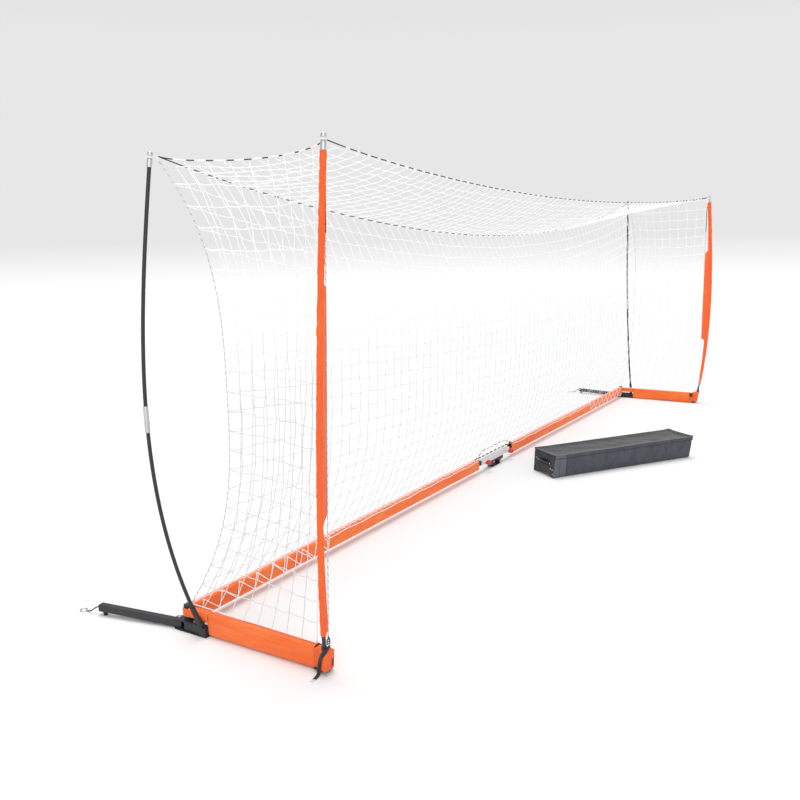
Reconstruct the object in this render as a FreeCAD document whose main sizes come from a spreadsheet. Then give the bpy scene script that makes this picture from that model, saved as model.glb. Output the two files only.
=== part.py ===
import FreeCAD, Part
import math
import os
import sys

import Sketcher
from FreeCAD import Placement, Rotation, Vector

# A portable full-size football goal with its wheeled carry bag.
# X runs along the goal, Y from the mouth to the back, Z up, and the origin
# lies under the foot in the middle of the back bar. All sizes are in millimetres.

DOC = FreeCAD.newDocument("PortableGoal")
SHEET = DOC.addObject("Spreadsheet::Sheet", "Sizes")

SIZES = {
    # goal as a whole
    "halfWidth": 3660, "baseDepth": 915, "frontTop": 2440, "rearTop": 2423, "rearPoleGap": 133,
    # bent rods: lean of the socket, height where the bend starts, and where the net pulls the tip to
    "rodDiameter": 19, "rodSides": 12, "rodJoint": 1160, "rodClearance": 0.5,
    "frontLeanOut": 0.203, "frontLeanAhead": 0.148, "frontTipOut": -35, "frontTipAhead": 78,
    "rearLeanOut": 0.267, "rearLeanBack": 0.181, "rearTipOut": 25, "rearTipBack": 116,
    "socketDiameter": 28, "frontSocketTop": 150, "rearSocketTop": 165, "socketFloor": 20,
    "ferruleDiameter": 26, "ferruleLength": 130, "ferruleBore": 22.8, "tipLength": 72, "tipGroove": 21,
    # steel base
    "tubeSize": 38, "tubeWall": 2, "tubeCorner": 3, "railLine": 3640, "railLift": 27,
    "railFront": 58, "railRear": 160, "upperRailDiameter": 25, "upperRailWall": 1.5, "upperRailLift": 103,
    "postSize": 30, "postTop": 137, "plateThickness": 5, "barLift": 85, "barGap": 12,
    # hubs and legs
    "hubWidth": 60, "hubLine": 3655, "hubTopPlate": 51, "pivotBehind": 50, "boltDiameter": 10,
    "boltGap": 110, "legLength": 512, "legTilt": 1.8, "leftSplay": 11, "rightSplay": 3, "legLift": 7,
    # anchor cable on each leg
    "cableDiameter": 7, "ringDiameter": 44, "ringWire": 6,
    # connector in the middle of the back bar
    "connectorSize": 45, "connectorBore": 39, "connectorLength": 560, "footDepth": 50,
    "knobPlace": 230, "knobBall": 46, "knobPin": 8, "knobBush": 24, "knobBushLength": 14,
    # fabric
    "clothThickness": 1.5, "sideSleeveWidth": 46, "sideSleeveTop": 120, "sideSleeveBottom": 6,
    "bandHeight": 46, "barSleeveHeight": 88, "barSleeveLift": 38, "barSleeveEnd": 330,
    "poleSleeveBottom": 195, "poleSleeveTop": 2368, "poleSleeveTail": 50, "flagBottom": 770,
    "flagTop": 1805, "flagWidth": 136, "strapWidth": 20,
    # net and its cords
    "netStrand": 7, "netThickness": 4, "edgeCord": 7, "frontCord": 6, "loopCord": 4, "laceCord": 4,
    "laceStep": 138, "cornerDrop": 52, "frontSag": 118, "frontPull": 232, "rearSag": 370, "rearPull": 35,
    "sideSag": 22, "sidePull": 140, "netWaist": 176, "netBottom": 128,
    # bag
    "bagX": 534, "bagY": -936, "bagTurn": -34.5, "bagLength": 1500, "bagWidth": 330, "bagHeight": 200,
    "bagTaper": 18, "bagLean": 17, "bagWall": 3, "lidHeight": 26, "housingLength": 62, "wheelDiameter": 46,
    "wheelWidth": 24, "axleDiameter": 6,
}


def fillSheet():
    for row, (alias, value) in enumerate(SIZES.items(), start=1):
        SHEET.set("A%d" % row, alias)
        SHEET.set("B%d" % row, str(value))
        SHEET.setAlias("B%d" % row, alias)
    DOC.recompute()


def read(amount):
    """Value of a number, or of an expression such as "Sizes.tubeSize / 2"."""
    if isinstance(amount, str):
        return float(SHEET.evalExpression(amount))
    return float(amount)


def size(alias):
    return float(SHEET.get(alias))


SIDES = (("left", -1), ("right", 1))
KEPT = []


def keep(thing):
    """List a finished sub-part, whose Label names its file."""
    KEPT.append(thing)
    return thing


def turned(alongX, alongZ, base=Vector()):
    """Placement whose own X and Z point along the two given directions."""
    return Placement(base, Rotation(alongX, Vector(), alongZ, "ZXY"))


# Sketches and PartDesign features


def startBody(label, place=Placement()):
    body = DOC.addObject("PartDesign::Body", label)
    body.Label = label
    body.Placement = place
    return keep(body)


def startSketch(body, role, offset=0):
    sketch = body.newObject("Sketcher::SketchObject", "Profile")
    plane = [item for item in body.Origin.OriginFeatures if item.Role == role][0]
    sketch.AttachmentSupport = [(plane, "")]
    sketch.MapMode = "FlatFace"
    sketch.AttachmentOffset = Placement(Vector(0, 0, read(offset)), Rotation())
    if isinstance(offset, str):
        sketch.setExpression("AttachmentOffset.Base.z", offset)
    return sketch


def bind(sketch, kind, references, amount):
    """Add a dimension and tie it to the sheet when it is given as an expression."""
    index = sketch.addConstraint(Sketcher.Constraint(kind, *references, read(amount)))
    if isinstance(amount, str):
        name = "size%d" % index
        sketch.renameConstraint(index, name)
        sketch.setExpression("Constraints." + name, amount)


def addRectangle(sketch, left, bottom, width, height):
    x, y, w, h = (read(amount) for amount in (left, bottom, width, height))
    corners = [Vector(x, y, 0), Vector(x + w, y, 0), Vector(x + w, y + h, 0), Vector(x, y + h, 0)]
    first = sketch.GeometryCount
    for i in range(4):
        sketch.addGeometry(Part.LineSegment(corners[i], corners[(i + 1) % 4]), False)
    for i in range(4):
        sketch.addConstraint(Sketcher.Constraint("Coincident", first + i, 2, first + (i + 1) % 4, 1))
    for i, kind in enumerate(("Horizontal", "Vertical", "Horizontal", "Vertical")):
        sketch.addConstraint(Sketcher.Constraint(kind, first + i))
    bind(sketch, "DistanceX", (first, 1, first, 2), width)
    bind(sketch, "DistanceY", (first + 1, 1, first + 1, 2), height)
    bind(sketch, "DistanceX", (-1, 1, first, 1), left)
    bind(sketch, "DistanceY", (-1, 1, first, 1), bottom)


def addCircle(sketch, x, y, diameter):
    centre = Vector(read(x), read(y), 0)
    index = sketch.addGeometry(Part.Circle(centre, Vector(0, 0, 1), read(diameter) / 2), False)
    bind(sketch, "Diameter", (index,), diameter)
    bind(sketch, "DistanceX", (-1, 1, index, 3), x)
    bind(sketch, "DistanceY", (-1, 1, index, 3), y)


def addOutline(sketch, points):
    """Closed outline of straight lines through hand-given points, each fixed by two dimensions."""
    first = sketch.GeometryCount
    count = len(points)
    spots = [Vector(read(x), read(y), 0) for x, y in points]
    for i in range(count):
        sketch.addGeometry(Part.LineSegment(spots[i], spots[(i + 1) % count]), False)
    for i in range(count):
        sketch.addConstraint(Sketcher.Constraint("Coincident", first + i, 2, first + (i + 1) % count, 1))
        bind(sketch, "DistanceX", (-1, 1, first + i, 1), points[i][0])
        bind(sketch, "DistanceY", (-1, 1, first + i, 1), points[i][1])


def addHole(sketch, x, y, diameter, sides=8):
    """Hole with flats, for the bores that are out of sight."""
    radius = read(diameter) / 2 / math.cos(math.pi / sides)
    spots = []
    for k in range(sides):
        angle = 2 * math.pi * (k + 0.5) / sides
        spots.append((read(x) + radius * math.cos(angle), read(y) + radius * math.sin(angle)))
    addOutline(sketch, spots)


def addPad(body, sketch, length, midplane=False, downward=False):
    pad = body.newObject("PartDesign::Pad", "Pad")
    pad.Profile = sketch
    pad.Length = read(length)
    if isinstance(length, str):
        pad.setExpression("Length", length)
    pad.SideType = "Symmetric" if midplane else "One side"
    pad.Reversed = downward
    body.Tip = pad
    DOC.recompute()
    return pad


def addPocket(body, sketch, length, midplane=False, downward=True):
    before = body.Shape.Volume
    pocket = body.newObject("PartDesign::Pocket", "Pocket")
    pocket.Profile = sketch
    pocket.Length = read(length)
    if isinstance(length, str):
        pocket.setExpression("Length", length)
    pocket.SideType = "Symmetric" if midplane else "One side"
    pocket.Reversed = not downward
    body.Tip = pocket
    DOC.recompute()
    if not pocket.Shape.Volume < before - 1:
        sys.exit("the pocket in %s cuts nothing" % body.Label)
    return pocket


def addFillet(body, edges, radius):
    if not edges:
        sys.exit("no edge to round in %s" % body.Label)
    before = body.Tip
    fillet = body.newObject("PartDesign::Fillet", "Fillet")
    fillet.Base = (before, edges)
    fillet.Radius = read(radius)
    if isinstance(radius, str):
        fillet.setExpression("Radius", radius)
    body.Tip = fillet
    DOC.recompute()
    return fillet


def straightEdges(body, direction, test=lambda point: True):
    """Names of a body's straight edges along one of its own directions whose middle passes the test."""
    names = []
    for index, edge in enumerate(body.Tip.Shape.Edges, start=1):
        if edge.Curve.TypeId != "Part::GeomLine":
            continue
        run = edge.Vertexes[-1].Point - edge.Vertexes[0].Point
        if run.Length and abs(run.normalize().dot(direction)) > 0.999 and test(edge.CenterOfMass):
            names.append("Edge%d" % index)
    return names


def squareTube(label, place, width, height, wall, length, corner="Sizes.tubeCorner"):
    """Rectangular tube along its own Z, centred on it, with rounded outer corners."""
    body = startBody(label, place)
    sketch = startSketch(body, "XY_Plane")
    addRectangle(sketch, "-(%s) / 2" % width, "-(%s) / 2" % height, width, height)
    inner = "(%s - 2 * (%s))"
    across, up = inner % (width, wall), inner % (height, wall)
    addRectangle(sketch, "-%s / 2" % across, "-%s / 2" % up, across, up)
    addPad(body, sketch, length)
    limit = read(width) / 2 - 0.01
    addFillet(body, straightEdges(body, Vector(0, 0, 1), lambda p: abs(p.x) > limit), corner)
    return body


# Part primitives, placed in the goal's own frame


def box(label, low, high):
    block = DOC.addObject("Part::Box", label)
    block.Length, block.Width, block.Height = (b - a for a, b in zip(low, high))
    block.Placement.Base = Vector(*low)
    return block


def joined(label, pieces):
    group = DOC.addObject("Part::MultiFuse", label)
    group.Shapes = pieces
    return group


def without(label, base, tool):
    result = DOC.addObject("Part::Cut", label)
    result.Base, result.Tool = base, tool
    return result


def mirrored(side, low, high):
    """The same box on the left or right side of the goal."""
    xs = sorted((side * low[0], side * high[0]))
    return (xs[0],) + tuple(low[1:]), (xs[1],) + tuple(high[1:])


def feature(label, shape):
    """Sub-part whose form is worked out below from the sheet's sizes."""
    item = DOC.addObject("Part::Feature", label)
    item.Shape = shape
    return keep(item)


# Round trade parts with a chosen number of flats, so that the many small ones stay light


def flatSided(points, faces):
    """Closed solid of flat triangles."""
    shell = Part.Shape()
    shell.makeShapeFromMesh((points, faces), 0.005)
    solid = Part.makeSolid(shell)
    if solid.Volume < 0:
        solid.reverse()
    return solid


def turnedSolid(profile, sides, place=Placement()):
    """Solid of revolution about its own Z from a closed profile of radius and height."""
    points, loops = [], []
    for radius, height in profile:
        if radius == 0:
            loops.append([len(points)] * sides)
            points.append(Vector(0, 0, height))
            continue
        loops.append([len(points) + k for k in range(sides)])
        for k in range(sides):
            angle = 2 * math.pi * k / sides
            points.append(Vector(radius * math.cos(angle), radius * math.sin(angle), height))
    faces = []
    for low, high in zip(loops, loops[1:] + loops[:1]):
        for k in range(sides):
            n = (k + 1) % sides
            for face in ((low[k], low[n], high[n]), (low[k], high[n], high[k])):
                if len(set(face)) == 3:
                    faces.append(face)
    return flatSided(points, faces).transformed(place.Matrix, True)


def tube(outer, inner, length, sides, place=Placement()):
    return turnedSolid([(inner, 0), (outer, 0), (outer, length), (inner, length)], sides, place)


def hoop(reach, wire, sides, place=Placement()):
    """Ring of round wire, with six flats round the wire."""
    profile = []
    for k in range(6):
        angle = math.pi / 3 * k
        profile.append((reach + wire * math.cos(angle), wire * math.sin(angle)))
    return turnedSolid(profile, sides, place)


def facing(point, heading):
    return Placement(point, Rotation(Vector(0, 0, 1), heading))


# Bent rods: each stands straight in a leaning socket, then bends like a
# fishing rod, because the stretched net pulls its tip inwards


def rodCurve(end, side, z):
    """Point and direction of a rod's centre line at a height."""
    top, start = size(end + "Top"), size(end + "SocketTop")
    if end == "front":
        foot = Vector(size("halfWidth"), -size("baseDepth"), 0)
        lean = Vector(size("frontLeanOut"), -size("frontLeanAhead"), 0)
        tip = Vector(size("frontTipOut"), -size("frontTipAhead"), 0)
    else:
        foot = Vector(size("halfWidth"), -size("rearPoleGap"), 0)
        lean = Vector(size("rearLeanOut"), size("rearLeanBack"), 0)
        tip = Vector(size("rearTipOut"), size("rearTipBack"), 0)
    free = top - start
    pull = (tip - lean * top) * (1 / (2 * free ** 3))
    rise = max(0, z - start)
    point = foot + lean * z + pull * (3 * free * rise ** 2 - rise ** 3) + Vector(0, 0, z)
    heading = lean + pull * (6 * free * rise - 3 * rise ** 2) + Vector(0, 0, 1)
    return Vector(side * point.x, point.y, point.z), Vector(side * heading.x, heading.y, 1).normalize()


def steps(low, high, count):
    return [low + (high - low) * i / count for i in range(count + 1)]


def rodStations(end):
    """Heights of the sections that a rod's two halves are lofted through."""
    joint, top = size("rodJoint"), size(end + "Top")
    seat = top - size("tipLength") * 0.2 * rodCurve(end, 1, top)[1].z
    return [size("socketFloor")] + steps(size(end + "SocketTop"), joint, 5), steps(joint, seat, 5)


def rodPoint(end, side, z):
    """Point and direction on the lofted rod, which runs straight from one section to the next."""
    lower, upper = rodStations(end)
    heights = lower + upper[1:]
    after = [i for i, height in enumerate(heights) if height >= z - 0.001]
    high = max(1, after[0]) if after else len(heights) - 1
    below, above = rodCurve(end, side, heights[high - 1])[0], rodCurve(end, side, heights[high])[0]
    share = (z - heights[high - 1]) / (heights[high] - heights[high - 1])
    return below + (above - below) * share, rodCurve(end, side, z)[1]


def inwards(end, side):
    """Level direction in which the net pulls a rod."""
    out = size(end + "TipOut") - size(end + "LeanOut") * size(end + "Top")
    if end == "front":
        back = size("frontLeanAhead") * size("frontTop") - size("frontTipAhead")
    else:
        back = size("rearTipBack") - size("rearLeanBack") * size("rearTop")
    return Vector(side * out, back, 0).normalize()


def polygon(point, heading, steady, radius, sides):
    """Regular outline square to a heading, turned by a direction that stays the same along a loft."""
    across = (steady - heading * steady.dot(heading)).normalize()
    up = heading.cross(across)
    spots = []
    for k in range(sides + 1):
        angle = 2 * math.pi * (k % sides) / sides
        spots.append(point + across * (radius * math.cos(angle)) + up * (radius * math.sin(angle)))
    return Part.makePolygon(spots)


def bentRod(end, side, heights, radius, sides):
    """Rod lofted through sections set square to its centre line."""
    wires = []
    for z in heights:
        point, heading = rodPoint(end, side, z)
        wires.append(polygon(point, heading, inwards(end, side), radius, sides))
    return Part.makeLoft(wires, True, True)


def makePoles():
    radius, sides = size("rodDiameter") / 2, int(size("rodSides"))
    for end in ("front", "rear"):
        lower, upper = rodStations(end)
        for word, side in SIDES:
            feature("%s_pole_lower_%s" % (end, word), bentRod(end, side, lower, radius, sides))
            feature("%s_pole_upper_%s" % (end, word), bentRod(end, side, upper, radius, sides))


def makeFerrules():
    """Steel sleeves over the joints half-way up the rear rods. The front ones are inside the fabric."""
    shapes = []
    length = size("ferruleLength")
    for word, side in SIDES:
        point, heading = rodPoint("rear", side, size("rodJoint"))
        place = facing(point - heading * (length / 2), heading)
        shapes.append(tube(size("ferruleDiameter") / 2, size("ferruleBore") / 2, length, 16, place))
    feature("pole_ferrules", Part.Compound(shapes))


def makeTips():
    """Turned metal caps that sit on the rods' ends, each with a groove that holds a corner loop."""
    radius, groove, length = size("ferruleDiameter") / 2, size("tipGroove") / 2, size("tipLength")
    bore = size("rodDiameter") / 2 + size("rodClearance")
    profile = [(bore, 0), (radius, 0), (radius, length * 0.5), (groove, length * 0.56),
               (groove, length * 0.72), (radius, length * 0.78), (radius, length * 0.94),
               (radius - 3, length), (0, length), (0, length * 0.8), (bore, length * 0.8)]
    shapes = []
    for end in ("front", "rear"):
        for word, side in SIDES:
            heading = rodCurve(end, side, size(end + "Top"))[1]
            seat = rodPoint(end, side, rodStations(end)[1][-1])[0]
            shapes.append(turnedSolid(profile, 14, facing(seat - heading * (length * 0.8), heading)))
    feature("pole_tips", Part.Compound(shapes))


# Steel base


def makeRails(word, side):
    """Two rails along each side: a square one on the ground and a round one above it."""
    front = -size("baseDepth") + size("railFront")
    along = turned(Vector(1, 0, 0), Vector(0, 1, 0), Vector(side * size("railLine"), front, size("railLift")))
    lower = squareTube("lower_rail_" + word, along, "Sizes.tubeSize", "Sizes.tubeSize", "Sizes.tubeWall",
                       "Sizes.baseDepth - Sizes.railFront - Sizes.railRear")
    lower.setExpression("Placement.Base.x", "%d * Sizes.railLine" % side)
    spot = Vector(side * size("railLine"), front, size("upperRailLift"))
    place = turned(Vector(1, 0, 0), Vector(0, 1, 0), spot)
    upper = startBody("upper_rail_" + word, place)
    sketch = startSketch(upper, "XY_Plane")
    addCircle(sketch, 0, 0, "Sizes.upperRailDiameter")
    addCircle(sketch, 0, 0, "Sizes.upperRailDiameter - 2 * Sizes.upperRailWall")
    addPad(upper, sketch, "Sizes.baseDepth - Sizes.railFront - Sizes.postSize / 2")


def socketTube(label, end, side, low):
    """Leaning tube that a rod stands in, from a height up to its mouth, and the bore with its floor."""
    point, heading = rodPoint(end, side, low)
    length = (size(end + "SocketTop") - low) / heading.z
    outer = DOC.addObject("Part::Prism", label + "_tube")
    outer.Polygon = 16
    outer.Circumradius = size("socketDiameter") / 2
    outer.Height = length
    outer.Placement = facing(point, heading)
    bore = DOC.addObject("Part::Prism", label + "_bore")
    bore.Polygon = 12
    bore.Circumradius = size("rodDiameter") / 2 + size("rodClearance") + 0.3
    bore.Height = length + 60
    bore.Placement = facing(rodPoint(end, side, size("socketFloor"))[0], heading)
    return outer, bore


def makeFrontSocket(word, side):
    """Upright at the goal mouth: post, ground plate and the leaning socket, welded together."""
    label = "front_socket_" + word
    line, mouth = size("railLine"), -size("baseDepth")
    half, foot, top = size("tubeSize") / 2, 12, size("sideSleeveTop") - 4
    rear = mouth + size("railFront")
    plateTop = foot + size("plateThickness")
    post = box(label + "_post", *mirrored(side, (line - half, rear - 36, plateTop), (line + half, rear, top)))
    plate = box(label + "_plate", *mirrored(side, (line - 14, mouth - 18, foot), (line + 36, rear, plateTop)))
    socket, bore = socketTube(label, "front", side, plateTop - 3)
    keep(without(label, joined(label + "_steel", [post, plate, socket]), bore))


def makeRearSocket(word, side):
    """Block on the hub's ground plate with the leaning socket of the rear pole."""
    label = "rear_socket_" + word
    gap, plate = -size("rearPoleGap"), size("plateThickness")
    block = box(label + "_block", *mirrored(side, (3637, gap - 27, plate), (3683, gap + 22, 47)))
    socket, bore = socketTube(label, "rear", side, size("socketFloor"))
    keep(without(label, joined(label + "_steel", [block, socket]), bore))


def makeHub(word, side):
    """Welded hub: ground plate, channel, plate over the leg and the post that holds the back bar."""
    body = startBody("hub_frame_" + word)
    line, half, pivot = side * size("hubLine"), size("hubWidth") / 2, size("pivotBehind")

    def plate(height, inset, front, thickness):
        wide = half - inset
        sketch = startSketch(body, "XY_Plane", height)
        addOutline(sketch, [(line - wide, front), (line + wide, front), (line + wide, pivot + 8),
                            (line + wide * 0.55, pivot + wide), (line - wide * 0.55, pivot + wide),
                            (line - wide, pivot + 8)])
        addPad(body, sketch, thickness)

    plate(0, 0, -165, "Sizes.plateThickness")
    channel = startSketch(body, "XY_Plane", "Sizes.plateThickness")
    addOutline(channel, [(line - 22, -108), (line + 22, -108), (line + 22, -4), (line + 18, -4),
                         (line + 18, -96),
                         (line - 18, -96), (line - 18, -4), (line - 22, -4)])
    addPad(body, channel, "Sizes.hubTopPlate - Sizes.plateThickness")
    plate("Sizes.hubTopPlate", 4, -108, 4)
    post = startSketch(body, "XY_Plane", "Sizes.hubTopPlate + 4")
    left = side * size("railLine") - size("postSize") / 2
    addRectangle(post, left, "-Sizes.postSize / 2", "Sizes.postSize", "Sizes.postSize")
    addPad(body, post, "Sizes.postTop - Sizes.hubTopPlate - 4")
    holes = startSketch(body, "XY_Plane", 0.5)
    addHole(holes, line, "Sizes.pivotBehind", "Sizes.boltDiameter")
    addHole(holes, line, "Sizes.pivotBehind - Sizes.boltGap", "Sizes.boltDiameter")
    addPocket(body, holes, "Sizes.hubTopPlate + 10", downward=False)


def makeBolts():
    """Two hexagon bolts through each hub. The rear one is the leg's pivot."""
    shapes = []
    shank, head, top = size("boltDiameter") / 2 - 0.05, 9.5, size("hubTopPlate") + 3.5
    profile = [(0, 0), (shank, 0), (shank, top), (head, top), (head, top + 6.5), (0, top + 6.5)]
    for word, side in SIDES:
        for y in (size("pivotBehind"), size("pivotBehind") - size("boltGap")):
            spot = Vector(side * size("hubLine"), y, 0.5)
            shapes.append(turnedSolid(profile, 6, Placement(spot, Rotation())))
    feature("hub_bolts", Part.Compound(shapes))


def legPlace(word, side, distance=0.0, up=0.0):
    """Placement on a leg's axis: own Z along the leg, own Y across its top."""
    splay, tilt = math.radians(size(word + "Splay")), math.radians(size("legTilt"))
    run = Vector(side * math.sin(splay) * math.cos(tilt), math.cos(splay) * math.cos(tilt), math.sin(tilt))
    across = Vector(math.cos(splay), -side * math.sin(splay), 0)
    pivot = Vector(side * size("hubLine"), size("pivotBehind"), size("legLift") + size("tubeSize") / 2)
    place = turned(across, run, pivot + run * distance)
    place.Base = place.Base + place.Rotation.multVec(Vector(0, -up, 0))
    return place


def makeLeg(word, side):
    """Square tube leg that swings about its hub's rear bolt."""
    half = size("tubeSize") / 2
    leg = squareTube("rear_leg_" + word, legPlace(word, side, -half), "Sizes.tubeSize", "Sizes.tubeSize",
                     "Sizes.tubeWall", "Sizes.legLength + Sizes.tubeSize / 2")
    sketch = startSketch(leg, "XZ_Plane")
    addHole(sketch, 0, "Sizes.tubeSize / 2", "Sizes.boltDiameter + 3")
    addPocket(leg, sketch, "2 * Sizes.tubeSize", midplane=True)


def makeLegEnd(word, side):
    """Plastic plug in the leg's end, and the rubber stub under the tube that the leg stands on."""
    end = legPlace(word, side, size("legLength")).Matrix
    half, inner = size("tubeSize") / 2, size("tubeSize") / 2 - size("tubeWall") - 0.4
    flange = Part.makeBox(2 * half, 2 * half, 5, Vector(-half, -half, 0.2))
    flange = flange.makeChamfer(1.8, flange.Edges)
    plug = Part.makeBox(2 * inner, 2 * inner, 24, Vector(-inner, -inner, -23))
    eye = turnedSolid([(0, -30), (4.2, -30), (4.2, 10), (0, 10)], 12)
    cap = flange.fuse(plug).cut(eye).transformed(end, True)
    spot = legPlace(word, side, size("legLength") - 28, -half).Base
    ground = Placement(Vector(spot.x, spot.y, 0), Rotation())
    stub = turnedSolid([(0, 0), (11, 0), (14, spot.z), (0, spot.z)], 12, ground)
    leg = Part.makeBox(2 * half + 1, 2 * half, 90, Vector(-half - 0.5, -half, -60)).transformed(end, True)
    feature("leg_end_cap_" + word, Part.Compound([cap, stub.cut(leg)]))


def makeCable(word, side):
    """Coated wire from the leg's end to a steel ring for a ground stake.

    The route is straight runs joined by arcs, in the leg's own upright plane."""
    diameter = size("cableDiameter")
    start = legPlace(word, side, size("legLength") + 5)
    splay = math.radians(size(word + "Splay"))
    level = Vector(side * math.sin(splay), math.cos(splay), 0)
    drift = Vector(level.y, -level.x, 0) * side
    height = start.Base.z
    route = [(0, 0, height), (18, 0, height - 1), (42, 3, height - 14), (68, 4, 9),
             (96, -2, diameter / 2 + 0.4)]
    origin = Vector(start.Base.x, start.Base.y, 0)
    points = [origin + level * x + drift * y + Vector(0, 0, z) for x, y, z in route]
    edges, radii = [], []
    last = points[0]
    for i in range(1, len(points) - 1):
        before, after = points[i] - points[i - 1], points[i + 1] - points[i]
        turn = before.getAngle(after)
        reach = 0.45 * min(before.Length, after.Length)
        radii.append(reach / math.tan(turn / 2))
        into, out = points[i] - before.normalize() * reach, points[i] + after.normalize() * reach
        middle = (into + out) * 0.5
        sagitta = radii[-1] * (1 - math.cos(turn / 2))
        edges.append(Part.LineSegment(last, into).toShape())
        edges.append(Part.Arc(into, middle + (points[i] - middle).normalize() * sagitta, out).toShape())
        last = out
    edges.append(Part.LineSegment(last, points[-1]).toShape())
    path = Part.Wire(edges)
    sides = 6
    section = polygon(points[0], (points[1] - points[0]).normalize(), Vector(0, 0, 1), diameter / 2, sides)
    cord = path.makePipeShell([section], True, False)
    expected = sides / 2 * (diameter / 2) ** 2 * math.sin(2 * math.pi / sides) * path.Length
    print("cable %s: length %.1f, radii %s, volume %.3f of its section times its length" % (
        word, path.Length, [round(r) for r in radii], cord.Volume / expected))
    feature("anchor_cable_" + word, cord)
    heading = points[-1] - points[-2]
    heading = Vector(heading.x, heading.y, 0).normalize()
    wire = size("ringWire") / 2
    centre = points[-1] + heading * (size("ringDiameter") / 2 + 9.5)
    centre.z = wire + 0.4
    lug = turnedSolid([(0, 0), (diameter / 2 + 0.3, 0), (diameter / 2 + 0.3, 9.6), (0, 9.6)], 10,
                      facing(points[-1] + heading * 0.7, heading))
    ring = hoop(size("ringDiameter") / 2 - wire, wire, 20, Placement(centre, Rotation()))
    feature("anchor_ring_" + word, lug.fuse(ring))


# Back bar


def makeBackBar(word, side):
    place = turned(Vector(0, 1, 0), Vector(side, 0, 0), Vector(side * size("barGap"), 0, size("barLift")))
    bar = squareTube("back_bar_" + word, place, "Sizes.tubeSize", "Sizes.tubeSize", "Sizes.tubeWall",
                     "Sizes.railLine - Sizes.postSize / 2 - Sizes.barGap")
    sketch = startSketch(bar, "YZ_Plane")
    addHole(sketch, 0, "Sizes.knobPlace - Sizes.barGap", "Sizes.knobPin + 1.2")
    addPocket(bar, sketch, "Sizes.tubeSize", downward=True)


def makeConnector():
    """Square sleeve that joins the two bars, with a threaded bush for each lock knob."""
    place = turned(Vector(0, 1, 0), Vector(1, 0, 0), Vector(-size("connectorLength") / 2, 0, size("barLift")))
    body = squareTube("centre_connector", place, "Sizes.connectorSize", "Sizes.connectorSize",
                      "(Sizes.connectorSize - Sizes.connectorBore) / 2", "Sizes.connectorLength")
    sketch = startSketch(body, "YZ_Plane", "-Sizes.connectorSize / 2 + 0.5")
    for word, side in SIDES:
        middle = size("connectorLength") / 2 + side * size("knobPlace")
        bush = size("knobBush") / 2
        corners = []
        for k in range(6):
            angle = math.pi / 3 * k
            corners.append((bush * math.cos(angle), middle + bush * math.sin(angle)))
        addOutline(sketch, corners)
    addPad(body, sketch, "Sizes.knobBushLength + 0.5", downward=True)
    bore = startSketch(body, "YZ_Plane", "-Sizes.connectorSize / 2 - Sizes.knobBushLength")
    for word, side in SIDES:
        addHole(bore, 0, "Sizes.connectorLength / 2 + (%d) * Sizes.knobPlace" % side, "Sizes.knobPin + 1.2")
    addPocket(body, bore, "Sizes.knobBushLength + Sizes.connectorSize / 2", downward=False)


def makeCentreFoot():
    """Stepped bracket under the connector. The goal's origin is the middle of its underside."""
    body = startBody("centre_foot", turned(Vector(1, 0, 0), Vector(0, -1, 0), Vector()))
    sketch = startSketch(body, "XY_Plane")
    top = "Sizes.barLift - Sizes.connectorSize / 2"
    addOutline(sketch, [(-74, 0), (74, 0), (74, 20), (96, 34), (140, 38), (140, top), (-140, top), (-140, 38),
                        (-96, 34), (-74, 20)])
    addPad(body, sketch, "Sizes.footDepth", midplane=True)
    window = startSketch(body, "XY_Plane")
    addOutline(window, [(-66, 6), (66, 6), (62, 24), (40, 54), (-40, 54), (-62, 24)])
    addPocket(body, window, "2 * Sizes.footDepth", midplane=True)


def makeKnob(word, side):
    """Ball knob on a plunger pin, turned in one piece."""
    face = size("connectorSize") / 2 + size("knobBushLength") + 0.5
    pin, neck, ball = size("knobPin") / 2, 7.0, size("knobBall") / 2
    centre = face + 5 + ball
    profile = [(0, 11), (pin, 12), (pin, face), (neck, face)]
    start = -math.acos(neck / ball)
    for angle in steps(start, math.pi / 2, 7)[:-1]:
        profile.append((ball * math.cos(angle), centre + ball * math.sin(angle)))
    profile.append((0, centre + ball))
    place = facing(Vector(side * size("knobPlace"), 0, size("barLift")), Vector(0, -1, 0))
    feature("lock_knob_" + word, turnedSolid(profile, 20, place))


# Fabric


def makeSideSleeve(word, side):
    """Hollow fabric cover round both rails, its upper part running on round the hub's post."""
    front, rear = -size("baseDepth") + size("railFront") + 2, -size("railRear") - 4
    place = turned(Vector(1, 0, 0), Vector(0, 1, 0), Vector(side * size("railLine"), 0, 0))
    body = startBody("side_sleeve_" + word, place)
    width, cloth = "Sizes.sideSleeveWidth", "Sizes.clothThickness"
    inner = "(%s - 2 * %s)" % (width, cloth)
    sketch = startSketch(body, "XY_Plane", front)
    tall = "(Sizes.sideSleeveTop - Sizes.sideSleeveBottom)"
    addRectangle(sketch, "-%s / 2" % width, "-Sizes.sideSleeveTop", width, tall)
    ceiling = "-Sizes.sideSleeveTop + %s" % cloth
    addRectangle(sketch, "-%s / 2" % inner, ceiling, inner, "%s - 2 * %s" % (tall, cloth))
    addPad(body, sketch, rear - front)
    band = startSketch(body, "XY_Plane", rear - 1)
    addRectangle(band, "-%s / 2" % width, "-Sizes.sideSleeveTop", width, "Sizes.bandHeight")
    addRectangle(band, "-%s / 2" % inner, ceiling, inner, "Sizes.bandHeight - 2 * %s" % cloth)
    addPad(body, band, -19 - rear)
    wrap = startSketch(body, "XZ_Plane", "Sizes.sideSleeveTop - Sizes.bandHeight")
    half = side * size("sideSleeveWidth") / 2
    hollow, inner = half - side * size("clothThickness"), -side * (size("postSize") / 2 - 0.6)
    addOutline(wrap, [(hollow, -21), (half, -21), (half, 18.5), (inner, 18.5), (inner, 17), (hollow, 17)])
    addPad(body, wrap, "Sizes.bandHeight")


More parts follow.
